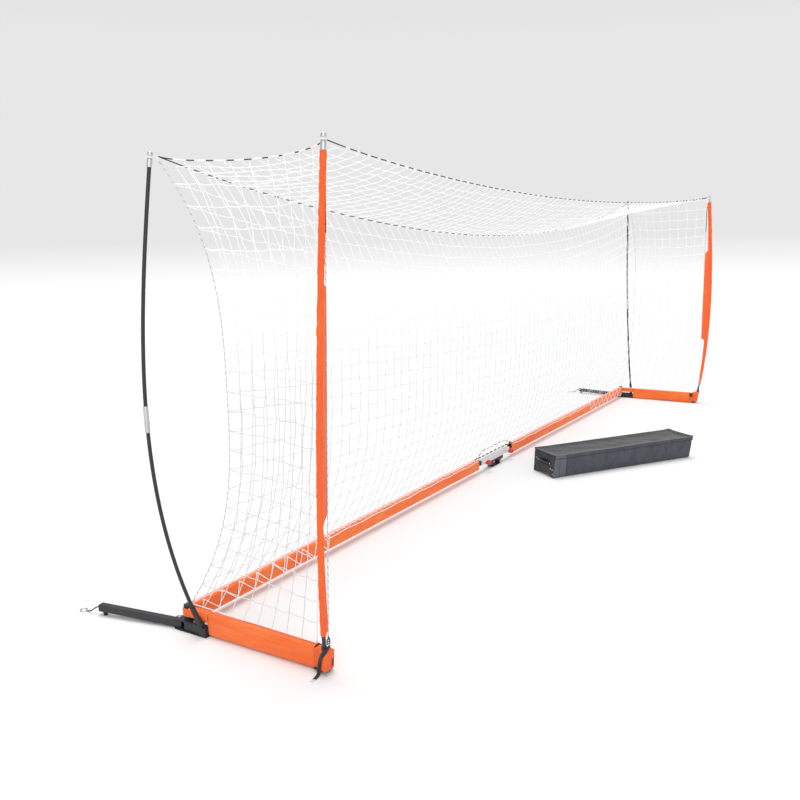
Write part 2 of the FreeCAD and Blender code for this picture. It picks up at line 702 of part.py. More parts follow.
def makeBarSleeve(word, side):
    middle = size("barSleeveLift") + size("barSleeveHeight") / 2
    place = turned(Vector(0, 1, 0), Vector(side, 0, 0), Vector(side * size("barSleeveEnd"), 0, middle))
    length = "Sizes.railLine - Sizes.sideSleeveWidth / 2 - 0.6 - Sizes.barSleeveEnd"
    squareTube("back_bar_sleeve_" + word, place, "Sizes.sideSleeveWidth", "Sizes.barSleeveHeight",
               "Sizes.clothThickness", length)


def skinned(rings, bores=None):
    """Solid between matching outlines, with flat triangles; a second set of outlines makes it hollow."""
    points, loops = [], []
    for outline in rings + (bores or []):
        loops.append([len(points) + k for k in range(len(outline))])
        points.extend(outline)
    faces = []

    def band(low, high):
        for k in range(len(low)):
            n = (k + 1) % len(low)
            faces.extend([(low[k], low[n], high[n]), (low[k], high[n], high[k])])

    outside, inside = loops[:len(rings)], loops[len(rings):]
    for low, high in zip(outside, outside[1:]):
        band(low, high)
    for low, high in zip(inside, inside[1:]):
        band(high, low)
    if inside:
        band(inside[0], outside[0])
        band(outside[-1], inside[-1])
    else:
        for end, order in ((outside[0], -1), (outside[-1], 1)):
            for k in range(1, len(end) - 1):
                faces.append((end[0], end[k], end[k + 1])[::order])
    return flatSided(points, faces)


def sleeveSection(side, z, width):
    """Outline of a pole's sleeve, round the rod and then flat towards the net's front cord, and its bore."""
    centre, heading = rodPoint("front", side, z)
    top, bottom = cordEnds(side)
    cord = bottom + (top - bottom) * ((z - bottom.z) / (top.z - bottom.z)) - centre
    cord = cord - heading * cord.dot(heading)
    towards = Vector(cord).normalize()
    across = heading.cross(towards) * -side
    steady = inwards("front", side)
    steady = (steady - heading * steady.dot(heading)).normalize()
    level = heading.cross(steady) * -side
    radius, bore, flat = 13.6, 11.3, 1.5
    reach = max(radius * 1.4, min(width, cord.Length - size("frontCord") / 2 - 2.5))
    outline, inner = [], []
    for k in range(7):
        angle = math.radians(36 + 48 * k)
        outline.append((radius * math.cos(angle), radius * math.sin(angle)))
        inner.append((bore * math.cos(angle), bore * math.sin(angle)))
    outline.extend([(radius * 1.3, -flat), (reach, -flat), (reach, flat), (radius * 1.3, flat)])
    for angle in (-18, -6, 6, 18):
        inner.append((bore * math.cos(math.radians(angle)), bore * math.sin(math.radians(angle))))
    outline = [centre + towards * x + across * y for x, y in outline]
    return outline, [centre + steady * x + level * y for x, y in inner]


def makePoleSleeve(word, side):
    """Fabric sleeve on a front pole, widened to a flag that reaches the net's taut front cord."""
    bottom, top = size("poleSleeveBottom"), size("poleSleeveTop")
    low, high, tail, flag = size("flagBottom"), size("flagTop"), size("poleSleeveTail"), size("flagWidth")
    stations = {bottom: tail, low - 14: tail, low + 14: flag}
    stations.update({high - 15: flag * 0.95, high + 15: tail, top: tail})
    lower, upper = rodStations("front")
    for z in lower + upper:
        if bottom < z < top:
            stations[z] = flag if low < z < high else tail
    outlines, bores = zip(*[sleeveSection(side, z, stations[z]) for z in sorted(stations)])
    feature("pole_sleeve_" + word, skinned(list(outlines), list(bores)))


def makeStrap(word, side):
    """Webbing from the buckle round the pole's socket and down beside the cover, its tail on the ground."""
    width, thick = size("strapWidth") / 2, size("clothThickness") / 2
    route = [((3666, -952.5, 149), (0, -1, 0)), ((3700, -955, 136), (0.5, -0.87, 0)),
             ((3705.5, -939, 118), (1, -0.3, 0)), ((3702, -921, 97), (1, 0.3, 0)),
             ((3691, -909, 72), (1, -0.1, 0.2)), ((3688.5, -899, 31), (1, -0.1, 0.2)),
             ((3693, -901, 5), (0.6, 0, 0.8)), ((3717, -905, 1.4), (0, 0, 1)), ((3757, -911, 1.4), (0, 0, 1))]
    spots = [Vector(*spot) for spot, normal in route]
    sections = []
    for i, spot in enumerate(spots):
        along = (spots[min(i + 1, len(spots) - 1)] - spots[max(i - 1, 0)]).normalize()
        out = Vector(*route[i][1])
        out = (out - along * out.dot(along)).normalize()
        across = out.cross(along)
        edge, face = across * width, out * thick
        corners = [spot + edge + face, spot - edge + face, spot - edge - face, spot + edge - face]
        sections.append([Vector(side * corner.x, corner.y, corner.z) for corner in corners])
    feature("front_strap_" + word, skinned(sections))


def makeCovers():
    """Wedge-shaped fabric covers over the front sockets, open behind and where the pole comes out."""
    low, high = 17, size("sideSleeveTop") - 4
    rear, cloth = -size("baseDepth") + size("railFront") + 1.5, size("clothThickness")
    shapes = []
    for word, side in SIDES:
        wires = {"out": [], "in": []}
        for z, front, inner, outer in ((low, -936, 3617, 3686), (high, -899, 3618, 3675.9)):
            for kind, inset, rise in (("out", 0, 0), ("in", cloth, 2)):
                spots = [(inner + inset, rear + inset), (3664 - inset, rear + inset),
                         (outer - inset, front + inset), (inner + inset, front + inset)]
                lift = z + (rise if z == high else -rise)
                corners = [Vector(side * x, y, lift) for x, y in spots]
                wires[kind].append(Part.makePolygon(corners + corners[:1]))
        shell = Part.makeLoft(wires["out"], True, True).cut(Part.makeLoft(wires["in"], True, True))
        point, heading = rodPoint("front", side, size("socketFloor"))
        clear = size("socketDiameter") / 2 + 1.2
        place = facing(point - heading * 12, heading)
        hole = turnedSolid([(0, 0), (clear, 0), (clear, 150), (0, 150)], 12, place)
        shapes.append(shell.cut(hole))
    feature("front_covers", Part.Compound(shapes))


def cordEnds(side):
    """Top and bottom of the net's straight front cord on one side."""
    tip = rodCurve("front", side, size("frontTop") - size("cornerDrop"))[0]
    top = tip + inwards("front", side) * 44
    bottom = Vector(side * (size("halfWidth") + 14), -size("baseDepth") - 36, 198)
    return top, bottom


def makeBuckles():
    """Ladder-lock buckles that tension the front cords."""
    shapes = []
    for word, side in SIDES:
        top, bottom = cordEnds(side)
        frame = Part.makeBox(24, 4, 26, Vector(-12, -2, -26))
        for low in (-22, -11):
            frame = frame.cut(Part.makeBox(18, 6, 7, Vector(-9, -3, low)))
        hook = turnedSolid([(0, 0), (4, 0), (4, 11.5), (0, 11.5)], 10)
        place = facing(bottom - (top - bottom).normalize() * 12, top - bottom)
        shapes.append(Part.Compound([frame, hook]).transformed(place.Matrix, True))
    feature("strap_buckles", Part.Compound(shapes))


# Net: each panel is a patch stretched between four edges, one sheet with a hole for each gap


def sagging(start, end, droop):
    """Edge that leaves the straight line most at its middle."""
    return lambda t: start + (end - start) * t + droop * (4 * t * (1 - t))


def waisted(start, end, pull):
    """Edge pulled in evenly over most of its length and sharply near its ends."""
    return lambda t: start + (end - start) * t + pull * (1 - abs(2 * t - 1) ** 3)


def netCorner(end, side):
    """Corner of the net, a little inside and under a pole's tip."""
    tip = rodPoint(end, side, size(end + "Top") - size("cornerDrop"))[0]
    towards = inwards(end, side)
    return tip + towards * 44


def netEdges():
    """The net's edges as functions of a share of their length."""
    edges = {}
    corner = {(end, word): netCorner(end, side) for end in ("front", "rear") for word, side in SIDES}
    low = size("netBottom")
    edges["topFront"] = sagging(corner["front", "left"], corner["front", "right"],
                                Vector(0, size("frontPull"), -size("frontSag")))
    edges["topRear"] = sagging(corner["rear", "left"], corner["rear", "right"],
                               Vector(0, -size("rearPull"), -size("rearSag")))
    inner = size("railLine") - size("postSize") / 2 - 10
    edges["bottomRear"] = sagging(Vector(-inner, 0, low), Vector(inner, 0, low), Vector())
    for word, side in SIDES:
        inward = Vector(-side * size("sidePull"), 0, -size("sideSag"))
        edges["top" + word] = sagging(corner["front", word], corner["rear", word], inward)
        waist = Vector(-side * size("netWaist"), -size("netWaist"), 0)
        edges["rear" + word] = waisted(Vector(side * inner, 0, low), corner["rear", word], waist)
        ground = Vector(side * size("railLine"), -size("baseDepth") + 60, low)
        edges["bottom" + word] = sagging(ground, Vector(side * inner, 0, low), Vector())
        edges["front" + word] = sagging(ground, corner["front", word], Vector())
    return edges


def patch(bottom, top, start, end, across=(0, 1), along=(0, 1)):
    """Surface between four edges, as a function of two shares of the parts of it that are used."""
    def place(s, t):
        u, v = across[0] + (across[1] - across[0]) * s, along[0] + (along[1] - along[0]) * t
        level = bottom(u) * (1 - v) + top(u) * v
        upright = start(v) * (1 - u) + end(v) * u
        corners = (bottom(0) * (1 - u) + bottom(1) * u) * (1 - v) + (top(0) * (1 - u) + top(1) * u) * v
        return level + upright - corners
    return place


def netPanel(label, place, columns, rows, normal):
    """Sheet of the net: every gap is a hole with four walls, and all faces are triangles."""
    strand = size("netStrand") / 2
    half = normal * (size("netThickness") / 2)
    points, faces = [], []

    def layer(shift):
        corners = {}
        for i in range(columns + 1):
            for j in range(rows + 1):
                corners[i, j] = len(points)
                points.append(place(i / columns, j / rows) + shift)
        holes = {}
        for i in range(columns):
            for j in range(rows):
                low, high = place(i / columns, j / rows), place((i + 1) / columns, (j + 1) / rows)
                middle = (j + 0.5) / rows
                along = (place((i + 1) / columns, middle) - place(i / columns, middle)).Length
                up = (high - low).Length ** 2 - along ** 2
                du = strand / along / columns
                dv = strand / max(math.sqrt(max(up, 1)), 100) / rows
                u0, u1, v0, v1 = i / columns + du, (i + 1) / columns - du, j / rows + dv, (j + 1) / rows - dv
                for k, (u, v) in enumerate(((u0, v0), (u1, v0), (u1, v1), (u0, v1))):
                    holes[i, j, k] = len(points)
                    points.append(place(u, v) + shift)
        return corners, holes

    def quad(a, b, c, d):
        faces.extend([(a, b, c), (a, c, d)])

    front, frontHoles = layer(half)
    back, backHoles = layer(half * -1)
    for i in range(columns):
        for j in range(rows):
            cell = [(i, j), (i + 1, j), (i + 1, j + 1), (i, j + 1)]
            for k in range(4):
                n = (k + 1) % 4
                quad(front[cell[k]], front[cell[n]], frontHoles[i, j, n], frontHoles[i, j, k])
                quad(back[cell[n]], back[cell[k]], backHoles[i, j, k], backHoles[i, j, n])
                quad(frontHoles[i, j, k], frontHoles[i, j, n], backHoles[i, j, n], backHoles[i, j, k])
    rim = [(i, 0) for i in range(columns)] + [(columns, j) for j in range(rows)]
    rim += [(i, rows) for i in range(columns, 0, -1)] + [(0, j) for j in range(rows, 0, -1)]
    for k in range(len(rim)):
        n = (k + 1) % len(rim)
        quad(front[rim[n]], front[rim[k]], back[rim[k]], back[rim[n]])
    feature(label, flatSided(points, faces))


def makeNet():
    """Back, roof and two sides, the last three a strand short of where they are sewn to the next."""
    edges = netEdges()
    back = patch(edges["bottomRear"], edges["topRear"], edges["rearleft"], edges["rearright"])
    netPanel("net_back", back, 17, 6, Vector(0, 1, 0))
    roof = patch(edges["topFront"], edges["topRear"], edges["topleft"], edges["topright"],
                 (0.001, 0.999), (0, 0.993))
    netPanel("net_roof", roof, 18, 2, Vector(0, 0, 1))
    for word, side in SIDES:
        panel = patch(edges["bottom" + word], edges["top" + word], edges["front" + word],
                      edges["rear" + word], (0, 0.993))
        netPanel("net_side_" + word, panel, 2, 6, Vector(1, 0, 0))


def cordShape(line, count, diameter, lift=Vector()):
    """Eight-sided cord through sections set square to a curve given by a share of its length."""
    wires = []
    for i in range(count + 1):
        t = i / count
        point = line(t) + lift
        heading = (line(min(1, t + 0.01)) - line(max(0, t - 0.01))).normalize()
        across = heading.cross(Vector(0, 0, 1) if abs(heading.z) < 0.9 else Vector(1, 0, 0)).normalize()
        up = across.cross(heading)
        spots = []
        for k in range(9):
            turn = math.radians(45 * k)
            spots.append(point + (across * math.cos(turn) + up * math.sin(turn)) * (diameter / 2))
        wires.append(Part.makePolygon(spots))
    return Part.makeLoft(wires, True, True)


def shortened(line, inset):
    """The same curve without a share of it at each end."""
    return lambda t: line(inset + (1 - 2 * inset) * t)


def makeCords():
    """Cords in the net's edges: round the top, and straight down both sides of the mouth."""
    edges = netEdges()
    diameter = size("edgeCord")
    rise = size("netThickness") / 2 + diameter / 2 + 2.5
    shapes = []
    for name, count in (("topFront", 12), ("topRear", 12), ("topleft", 4), ("topright", 4)):
        inset = 0.002 if name in ("topFront", "topRear") else 0.02
        shapes.append(cordShape(shortened(edges[name], inset), count, diameter, Vector(0, 0, rise)))
    for word, side in SIDES:
        top, bottom = cordEnds(side)
        short = top - (top - bottom).normalize() * 85
        shapes.append(cordShape(sagging(bottom, short, Vector()), 1, size("frontCord")))
    feature("net_edge_cords", Part.Compound(shapes))


def makeLoops():
    """Loops that hang the net's corners on the grooves of the pole tips."""
    wire = size("loopCord") / 2
    reach = size("tipGroove") / 2 + wire + 0.3
    shapes = []
    for end in ("front", "rear"):
        for word, side in SIDES:
            seat, heading = rodPoint(end, side, rodStations(end)[1][-1])
            groove = seat - heading * (size("tipLength") * 0.16)
            towards = netCorner(end, side) + Vector(0, 0, 10) - groove
            distance = towards.Length
            towards = towards.normalize()
            length = distance - reach - 8
            place = facing(groove + towards * (reach + wire * 0.6), towards)
            stem = turnedSolid([(0, 0), (wire, 0), (wire, length), (0, length)], 6, place)
            shapes.append(hoop(reach, wire, 10, facing(groove, heading)).fuse(stem))
    feature("corner_loops", Part.Compound(shapes))


def makeLacing():
    """Cord laced in a zigzag down the face of the back bar's sleeve."""
    diameter = size("laceCord")
    face = -size("sideSleeveWidth") / 2 - diameter / 2 - 0.4
    high, low = size("barSleeveLift") + size("barSleeveHeight") - 4, size("barSleeveLift") + 10
    shapes = []
    for word, side in SIDES:
        x, end = size("barSleeveEnd") + 20, size("railLine") - 60
        points = []
        while x < end:
            points.append(Vector(side * x, face, high))
            points.append(Vector(side * (x + size("laceStep") * 0.16), face, low))
            x += size("laceStep")
        path = Part.makePolygon(points)
        heading = (points[1] - points[0]).normalize()
        across, up = Vector(0, 1, 0), heading.cross(Vector(0, 1, 0))
        spots = []
        for k in range(5):
            turn = math.radians(90 * k)
            spots.append(points[0] + (across * math.cos(turn) + up * math.sin(turn)) * (diameter / 2))
        shapes.append(path.makePipeShell([Part.makePolygon(spots)], True, False, 1))
    feature("lacing", Part.Compound(shapes))


def makeFeet():
    """Rubber feet under the two front sockets."""
    shapes = []
    for word, side in SIDES:
        centre = Vector(side * (size("railLine") + 8), -size("baseDepth") + 24, 0)
        shapes.append(turnedSolid([(0, 0), (16, 0), (19, 12), (0, 12)], 16, Placement(centre, Rotation())))
    feature("front_feet", Part.Compound(shapes))


# Bag, in its own frame: X along its length with the wheels at the low end, Y across it


def bagPlace(x=0.0, y=0.0, z=0.0, alongX=Vector(1, 0, 0), alongZ=Vector(0, 0, 1)):
    whole = Placement(Vector(size("bagX"), size("bagY"), 0), Rotation(Vector(0, 0, 1), size("bagTurn")))
    return whole.multiply(turned(alongX, alongZ, Vector(x, y, z)))


def tubCorners(height, inset):
    """Corners of the tub's plan at a height, its walls leaning out upwards."""
    lean = (size("bagTaper") - 4) * height / (size("bagHeight") - size("lidHeight"))
    left = size("housingLength") - size("bagLength") / 2 + inset
    right = size("bagLength") / 2 - size("bagTaper") + lean - inset
    half = size("bagWidth") / 2 - size("bagTaper") + lean - inset
    return [Vector(left, -half, height), Vector(right, -half, height),
            Vector(right, half, height), Vector(left, half, height)]


def makeBagTub():
    """Open tub of cloth panels, a floor, two sides and two ends, that meet edge to edge at their seams."""
    floor, rim, wall = size("bagWall") + 3, size("bagHeight") - size("lidHeight"), size("bagWall")
    low, high = tubCorners(0, 0), tubCorners(rim, 0)
    lowInside, highInside = tubCorners(floor, wall), tubCorners(rim, wall)
    panels = [(low[::-1], lowInside[::-1])]
    for k in range(4):
        n = (k + 1) % 4
        panels.append(((low[k], low[n], high[n], high[k]),
                       (lowInside[k], lowInside[n], highInside[n], highInside[k])))
    quads = [(0, 1, 2, 3), (7, 6, 5, 4), (1, 0, 4, 5), (2, 1, 5, 6), (3, 2, 6, 7), (0, 3, 7, 4)]
    halves = [(a, b, c) for a, b, c, d in quads] + [(a, c, d) for a, b, c, d in quads]
    shapes = [flatSided(list(outer) + list(inner), halves).removeSplitter() for outer, inner in panels]
    feature("bag_tub", Part.Compound(shapes).transformed(bagPlace().toMatrix()))


def makeBagHousing():
    """Moulded end piece: grip recess, axle bore, wheel pockets at both corners and an arch between them."""
    length, height = "Sizes.housingLength", "Sizes.bagHeight - Sizes.lidHeight"
    place = bagPlace(-size("bagLength") / 2, 0, 0, Vector(0, 1, 0), Vector(1, 0, 0))
    body = startBody("bag_wheel_housing", place)
    sketch = startSketch(body, "XY_Plane")
    base, top = "Sizes.bagWidth / 2 - Sizes.bagTaper", "Sizes.bagWidth / 2 - 4"
    high = "(%s)" % height
    pocket = "(%s - Sizes.wheelWidth - 5)" % base
    addOutline(sketch, [("-(%s)" % base, 0), ("-(%s) + 4" % base, 0), ("-(%s) + 4" % base, 50),
                        ("-" + pocket, 50), ("-" + pocket, 8), ("-%s + 10" % pocket, 8),
                        ("-%s + 34" % pocket, 30), ("%s - 34" % pocket, 30), ("%s - 10" % pocket, 8),
                        (pocket, 8), (pocket, 50), ("(%s) - 4" % base, 50), ("(%s) - 4" % base, 0),
                        (base, 0), (top, high),
                        ("-(%s)" % top, high)])
    addPad(body, sketch, length)
    lean = startSketch(body, "YZ_Plane")
    addOutline(lean, [(20, -1), (20, 0), (high, "Sizes.bagLean"), (high, -1)])
    addPocket(body, lean, "2 * Sizes.bagWidth", midplane=True)
    grip = startSketch(body, "XY_Plane")
    addRectangle(grip, -75, 88, 150, 52)
    addPocket(body, grip, 44, downward=False)
    bore = startSketch(body, "YZ_Plane")
    addHole(bore, "Sizes.wheelDiameter / 2 + 0.5", 27, "Sizes.axleDiameter + 0.1")
    addPocket(body, bore, "Sizes.bagWidth", midplane=True)


def makeBagAxle():
    place = bagPlace(-size("bagLength") / 2 + 27, -size("bagWidth") / 2 + size("bagTaper") + 1,
                     size("wheelDiameter") / 2 + 0.5, Vector(1, 0, 0), Vector(0, 1, 0))
    body = startBody("bag_axle", place)
    sketch = startSketch(body, "XY_Plane")
    addCircle(sketch, 0, 0, "Sizes.axleDiameter")
    addPad(body, sketch, "Sizes.bagWidth - 2 * Sizes.bagTaper - 2")


def makeBagWheel(word, side):
    """Small tyred wheel with a recessed web and a raised hub."""
    across = side * (size("bagWidth") / 2 - size("bagTaper") - 4.5 - size("wheelWidth") / 2)
    place = bagPlace(-size("bagLength") / 2 + 27, across, size("wheelDiameter") / 2 + 0.5,
                     Vector(1, 0, 0), Vector(0, 1, 0))
    bore, hub, rim = size("axleDiameter") / 2 + 0.5, 9.0, size("wheelDiameter") / 2
    half = size("wheelWidth") / 2 - 0.5
    profile = [(bore, -half), (hub, -half), (hub + 1, -half + 4), (rim - 6, -half + 4),
               (rim - 5, -half), (rim, -half + 4), (rim, half - 4), (rim - 5, half),
               (rim - 6, half - 4), (hub + 1, half - 4), (hub, half), (bore, half)]
    feature("bag_wheel_" + word, turnedSolid(profile, 18, place))


def makeBagLid():
    """Shallow lid that overhangs the tub's walls, with its hinge along the far side."""
    rim = size("bagHeight") - size("lidHeight")
    body = startBody("bag_lid", bagPlace(0, 0, rim))
    sketch = startSketch(body, "XY_Plane", -10)
    addRectangle(sketch, "-Sizes.bagLength / 2 + Sizes.bagLean", "-Sizes.bagWidth / 2",
                 "Sizes.bagLength - Sizes.bagLean", "Sizes.bagWidth")
    addPad(body, sketch, "Sizes.lidHeight + 10")
    top = size("lidHeight") - 1
    addFillet(body, straightEdges(body, Vector(1, 0, 0), lambda p: p.z > top)
              + straightEdges(body, Vector(0, 1, 0), lambda p: p.z > top), 9)
    inside = startSketch(body, "XY_Plane", -10)
    wall = "2.5"
    addRectangle(inside, "-Sizes.bagLength / 2 - 1", "-Sizes.bagWidth / 2 + " + wall,
                 "Sizes.bagLength + 1 - " + wall, "Sizes.bagWidth - 2 * %s" % wall)
    addPocket(body, inside, 10.6, downward=False)
    hollow = startSketch(body, "XY_Plane")
    addRectangle(hollow, "-Sizes.bagLength / 2 + Sizes.bagLean + 8", "-Sizes.bagWidth / 2 + 8",
                 "Sizes.bagLength - Sizes.bagLean - 16", "Sizes.bagWidth - 16")
    addPocket(body, hollow, "Sizes.lidHeight - 4", downward=False)


def makeBagHandle():
    """Webbing grip across the recess of the leaning end face."""
    rise = size("bagHeight") - size("lidHeight") - 20
    slope = Vector(-rise, 0, size("bagLean")).normalize()
    level = 115
    away = -size("bagLength") / 2 + size("bagLean") * (level - 20) / rise
    body = startBody("bag_handle", bagPlace(away, 0, level, Vector(0, 1, 0), slope))
    sketch = startSketch(body, "XZ_Plane")
    addOutline(sketch, [(-98, 0), (-76, 0), (-62, 11), (62, 11), (76, 0), (98, 0), (98, 4), (79, 4),
                        (65, 15.5), (-65, 15.5), (-79, 4), (-98, 4)])
    addPad(body, sketch, "Sizes.strapWidth", midplane=True)


def makeAll():
    fillSheet()
    makePoles()
    makeFerrules()
    makeTips()
    for word, side in SIDES:
        makeRails(word, side)
        makeFrontSocket(word, side)
        makeRearSocket(word, side)
        makeHub(word, side)
        makeLeg(word, side)
        makeLegEnd(word, side)
        makeCable(word, side)
        makeBackBar(word, side)
        makeKnob(word, side)
        makeSideSleeve(word, side)
        makeBarSleeve(word, side)
        makePoleSleeve(word, side)
        makeStrap(word, side)
    makeBolts()
    makeFeet()
    makeCovers()
    makeConnector()
    makeCentreFoot()
    makeBuckles()
    makeNet()
    makeCords()
    makeLoops()
    makeLacing()
    makeBagTub()
    makeBagHousing()
    makeBagAxle()
    for word, side in SIDES:
        makeBagWheel(word, side)
    makeBagLid()
    makeBagHandle()


def checkAndWrite():
    DOC.recompute()
    for item in DOC.Objects:
        if "Invalid" in item.State or "Error" in item.State:
            sys.exit("%s failed: %s" % (item.Label, item.State))
    os.makedirs("parts", exist_ok=True)
    for item in KEPT:
        shape = item.Shape
        if shape.isNull() or not shape.isValid() or not shape.Solids:
            sys.exit("%s has no valid solid" % item.Label)
        if shape.Volume <= 0:
            sys.exit("%s is inside out" % item.Label)
        shape.exportStep("parts/%s.step" % item.Label)
    print("%d sub-parts written" % len(KEPT))


makeAll()
checkAndWrite()
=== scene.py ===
import math
import random

import bpy
from mathutils import Matrix, Vector, noise


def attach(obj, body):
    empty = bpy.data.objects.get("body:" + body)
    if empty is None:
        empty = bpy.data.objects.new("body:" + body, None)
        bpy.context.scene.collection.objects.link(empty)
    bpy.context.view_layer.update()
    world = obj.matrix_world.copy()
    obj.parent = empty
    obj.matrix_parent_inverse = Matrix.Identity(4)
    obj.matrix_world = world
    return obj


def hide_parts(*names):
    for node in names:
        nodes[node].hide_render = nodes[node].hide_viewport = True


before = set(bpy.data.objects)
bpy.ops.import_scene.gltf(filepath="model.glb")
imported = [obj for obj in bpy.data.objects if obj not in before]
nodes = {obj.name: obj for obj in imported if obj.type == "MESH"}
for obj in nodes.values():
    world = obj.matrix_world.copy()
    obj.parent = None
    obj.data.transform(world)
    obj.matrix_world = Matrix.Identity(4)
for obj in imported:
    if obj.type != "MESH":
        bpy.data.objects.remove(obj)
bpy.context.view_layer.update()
random.seed(11)
sides = (("left", -1), ("right", 1))
up = Vector((0, 0, 1))
print("frame loaded,", len(nodes), "nodes")


# camera, where the photographer stood: at the goal's left front, a little under two metres up

cameraPlace = {
    "spot": (-6.5097, -3.1923, 1.9936),
    "yaw": 59.117, "pitch": 10.299, "roll": -0.967,
    "lens": 37.44, "shift": (-0.0318, -0.0109),
}


def setCamera(place):
    data = bpy.data.cameras.new("camera")
    data.lens, data.sensor_width = place["lens"], 36
    data.shift_x, data.shift_y = place["shift"]
    data.clip_start, data.clip_end = 0.05, 200
    camera = bpy.data.objects.new("camera", data)
    bpy.context.scene.collection.objects.link(camera)
    turns = ((-place["yaw"], "Z"), (90 - place["pitch"], "X"), (place["roll"], "Z"))
    camera.matrix_world = Matrix.Translation(place["spot"])
    for angle, axis in turns:
        camera.matrix_world = camera.matrix_world @ Matrix.Rotation(math.radians(angle), 4, axis)
    bpy.context.scene.camera = camera


setCamera(cameraPlace)


# finishes

class Wire:  # a socket that can be added, multiplied and so on
    def __init__(self, finish, socket):
        self.finish, self.socket = finish, socket

    def maths(self, operation, a, b):
        return self.finish.node("ShaderNodeMath", {"operation": operation}, {0: a, 1: b})

    def __add__(self, other):
        return self.maths("ADD", self, other)

    def __radd__(self, other):
        return self.maths("ADD", other, self)

    def __sub__(self, other):
        return self.maths("SUBTRACT", self, other)

    def __rsub__(self, other):
        return self.maths("SUBTRACT", other, self)

    def __mul__(self, other):
        return self.maths("MULTIPLY", self, other)

    def __rmul__(self, other):
        return self.maths("MULTIPLY", other, self)

    def __gt__(self, other):
        return self.maths("GREATER_THAN", self, other)

    def __lt__(self, other):
        return self.maths("LESS_THAN", self, other)


class Finish:  # a material, or the world, whose shader is filled in from outside
    def __init__(self, name, settings, world=None):
        self.material = world or bpy.data.materials.new(name)
        self.material.use_nodes = True
        self.tree = self.material.node_tree
        self.shader = self.tree.nodes["Background" if world else "Principled BSDF"]
        for key, value in settings.items():
            self.put(key, value)

    def feed(self, socket, value):  # a colour is given as three numbers
        if isinstance(value, Wire):
            self.tree.links.new(value.socket, socket)
        else:
            socket.default_value = (*value, 1) if socket.type == "RGBA" else value

    def node(self, kind, settings=None, values=None, output=0):
        made = self.tree.nodes.new(kind)
        for key, value in (settings or {}).items():
            if key == "stops":
                ramp = made.color_ramp
                while len(ramp.elements) < len(value):
                    ramp.elements.new(0.5)
                for element, (place, colour) in zip(ramp.elements, value):
                    element.position, element.color = place, (*colour, 1)
            else:
                setattr(made, key, value)
        for key, value in (values or {}).items():
            self.feed(made.inputs[key], value)
        return Wire(self, made.outputs[output])

    def put(self, name, value):
        self.feed(self.shader.inputs[name], value)

    def mix(self, factor, a, b):
        return self.node("ShaderNodeMix", {"data_type": "RGBA"}, {0: factor, 6: a, 7: b}, 2)

    def place(self, kind):  # Object and UV coordinates are in metres
        return self.node("ShaderNodeTexCoord", output=kind)

    def dot(self, vector, direction):
        return self.node("ShaderNodeVectorMath", {"operation": "DOT_PRODUCT"}, {0: vector, 1: direction}, 1)

    def stretched(self, vector, scale):
        return self.node("ShaderNodeMapping", {}, {"Vector": vector, "Scale": scale})

    def noise(self, vector, scale, detail=3.0, roughness=0.55):
        values = {"Vector": vector, "Scale": scale, "Detail": detail, "Roughness": roughness}
        return self.node("ShaderNodeTexNoise", {}, values)

    def ramp(self, factor, low, high):  # 0 below low, 1 above high
        return self.node("ShaderNodeMapRange", {"interpolation_type": "SMOOTHSTEP"},
                         {"Value": factor, "From Min": low, "From Max": high})

    def stripes(self, vector, period, direction):
        values = {"Vector": vector, "Scale": 0.3142 / period}
        return self.node("ShaderNodeTexWave", {"bands_direction": direction}, values, 1)

    def weave(self, flat, thread):
        return self.stripes(flat, thread, "X") * 0.5 + self.stripes(flat, thread, "Y") * 0.5

    def fill(self, colour, roughness, height, strength, distance):  # what every material ends with
        self.put("Base Color", colour)
        self.put("Roughness", roughness)
        values = {"Height": height, "Strength": strength, "Distance": distance}
        self.put("Normal", self.node("ShaderNodeBump", {}, values))
        return self


# where the carry bag lies, and its own two directions: its cloth is darker at one end

bagSpot, bagTurn = Vector((0.534, -0.936, 0)), math.radians(-34.5)
bagAlong = Vector((math.cos(bagTurn), math.sin(bagTurn), 0))
bagAcross = up.cross(bagAlong)


def scaled(values, share):
    return [share * value for value in values]


def powderCoat(name, dark, light):
    f = Finish(name, {"Metallic": 0.25, "Specular IOR Level": 0.5})
    spot = f.place("Object")
    cloudy = f.noise(spot, 9.0)
    grain = f.noise(spot, 900.0, 2.0)
    scuffs = f.ramp(f.noise(f.stretched(spot, (22, 22, 90)), 1.0, 5.0, 0.7), 0.62, 0.8)
    base = f.mix(scuffs * 0.35, f.mix(cloudy, dark, light), (0.3, 0.31, 0.33))
    return f.fill(base, 0.42 + grain * 0.2 - scuffs * 0.1, grain, 0.25, 0.0004)


def metal(name, colour, roughness, along=(1, 1, 60)):  # along: how the brushing runs
    f = Finish(name, {"Metallic": 1.0})
    spot = f.place("Object")
    brushed = f.noise(f.stretched(spot, scaled(along, 14)), 1.0, 4.0)
    base = f.mix(f.noise(spot, 25.0) * 0.5, colour, scaled(colour, 0.7))
    return f.fill(base, roughness + brushed * 0.2 - 0.1, brushed, 0.15, 0.0003)


def moulded(name, colour, lighter, roughness, grainSize=700.0, coat=0.0):
    f = Finish(name, {"Coat Weight": coat, "Coat Roughness": 0.12})
    spot = f.place("Object")
    grain = f.noise(spot, grainSize, 2.0)
    base = f.mix(f.noise(spot, 14.0), colour, lighter)
    return f.fill(base, roughness + grain * 0.18 - 0.05, grain, 0.22, 0.0004)


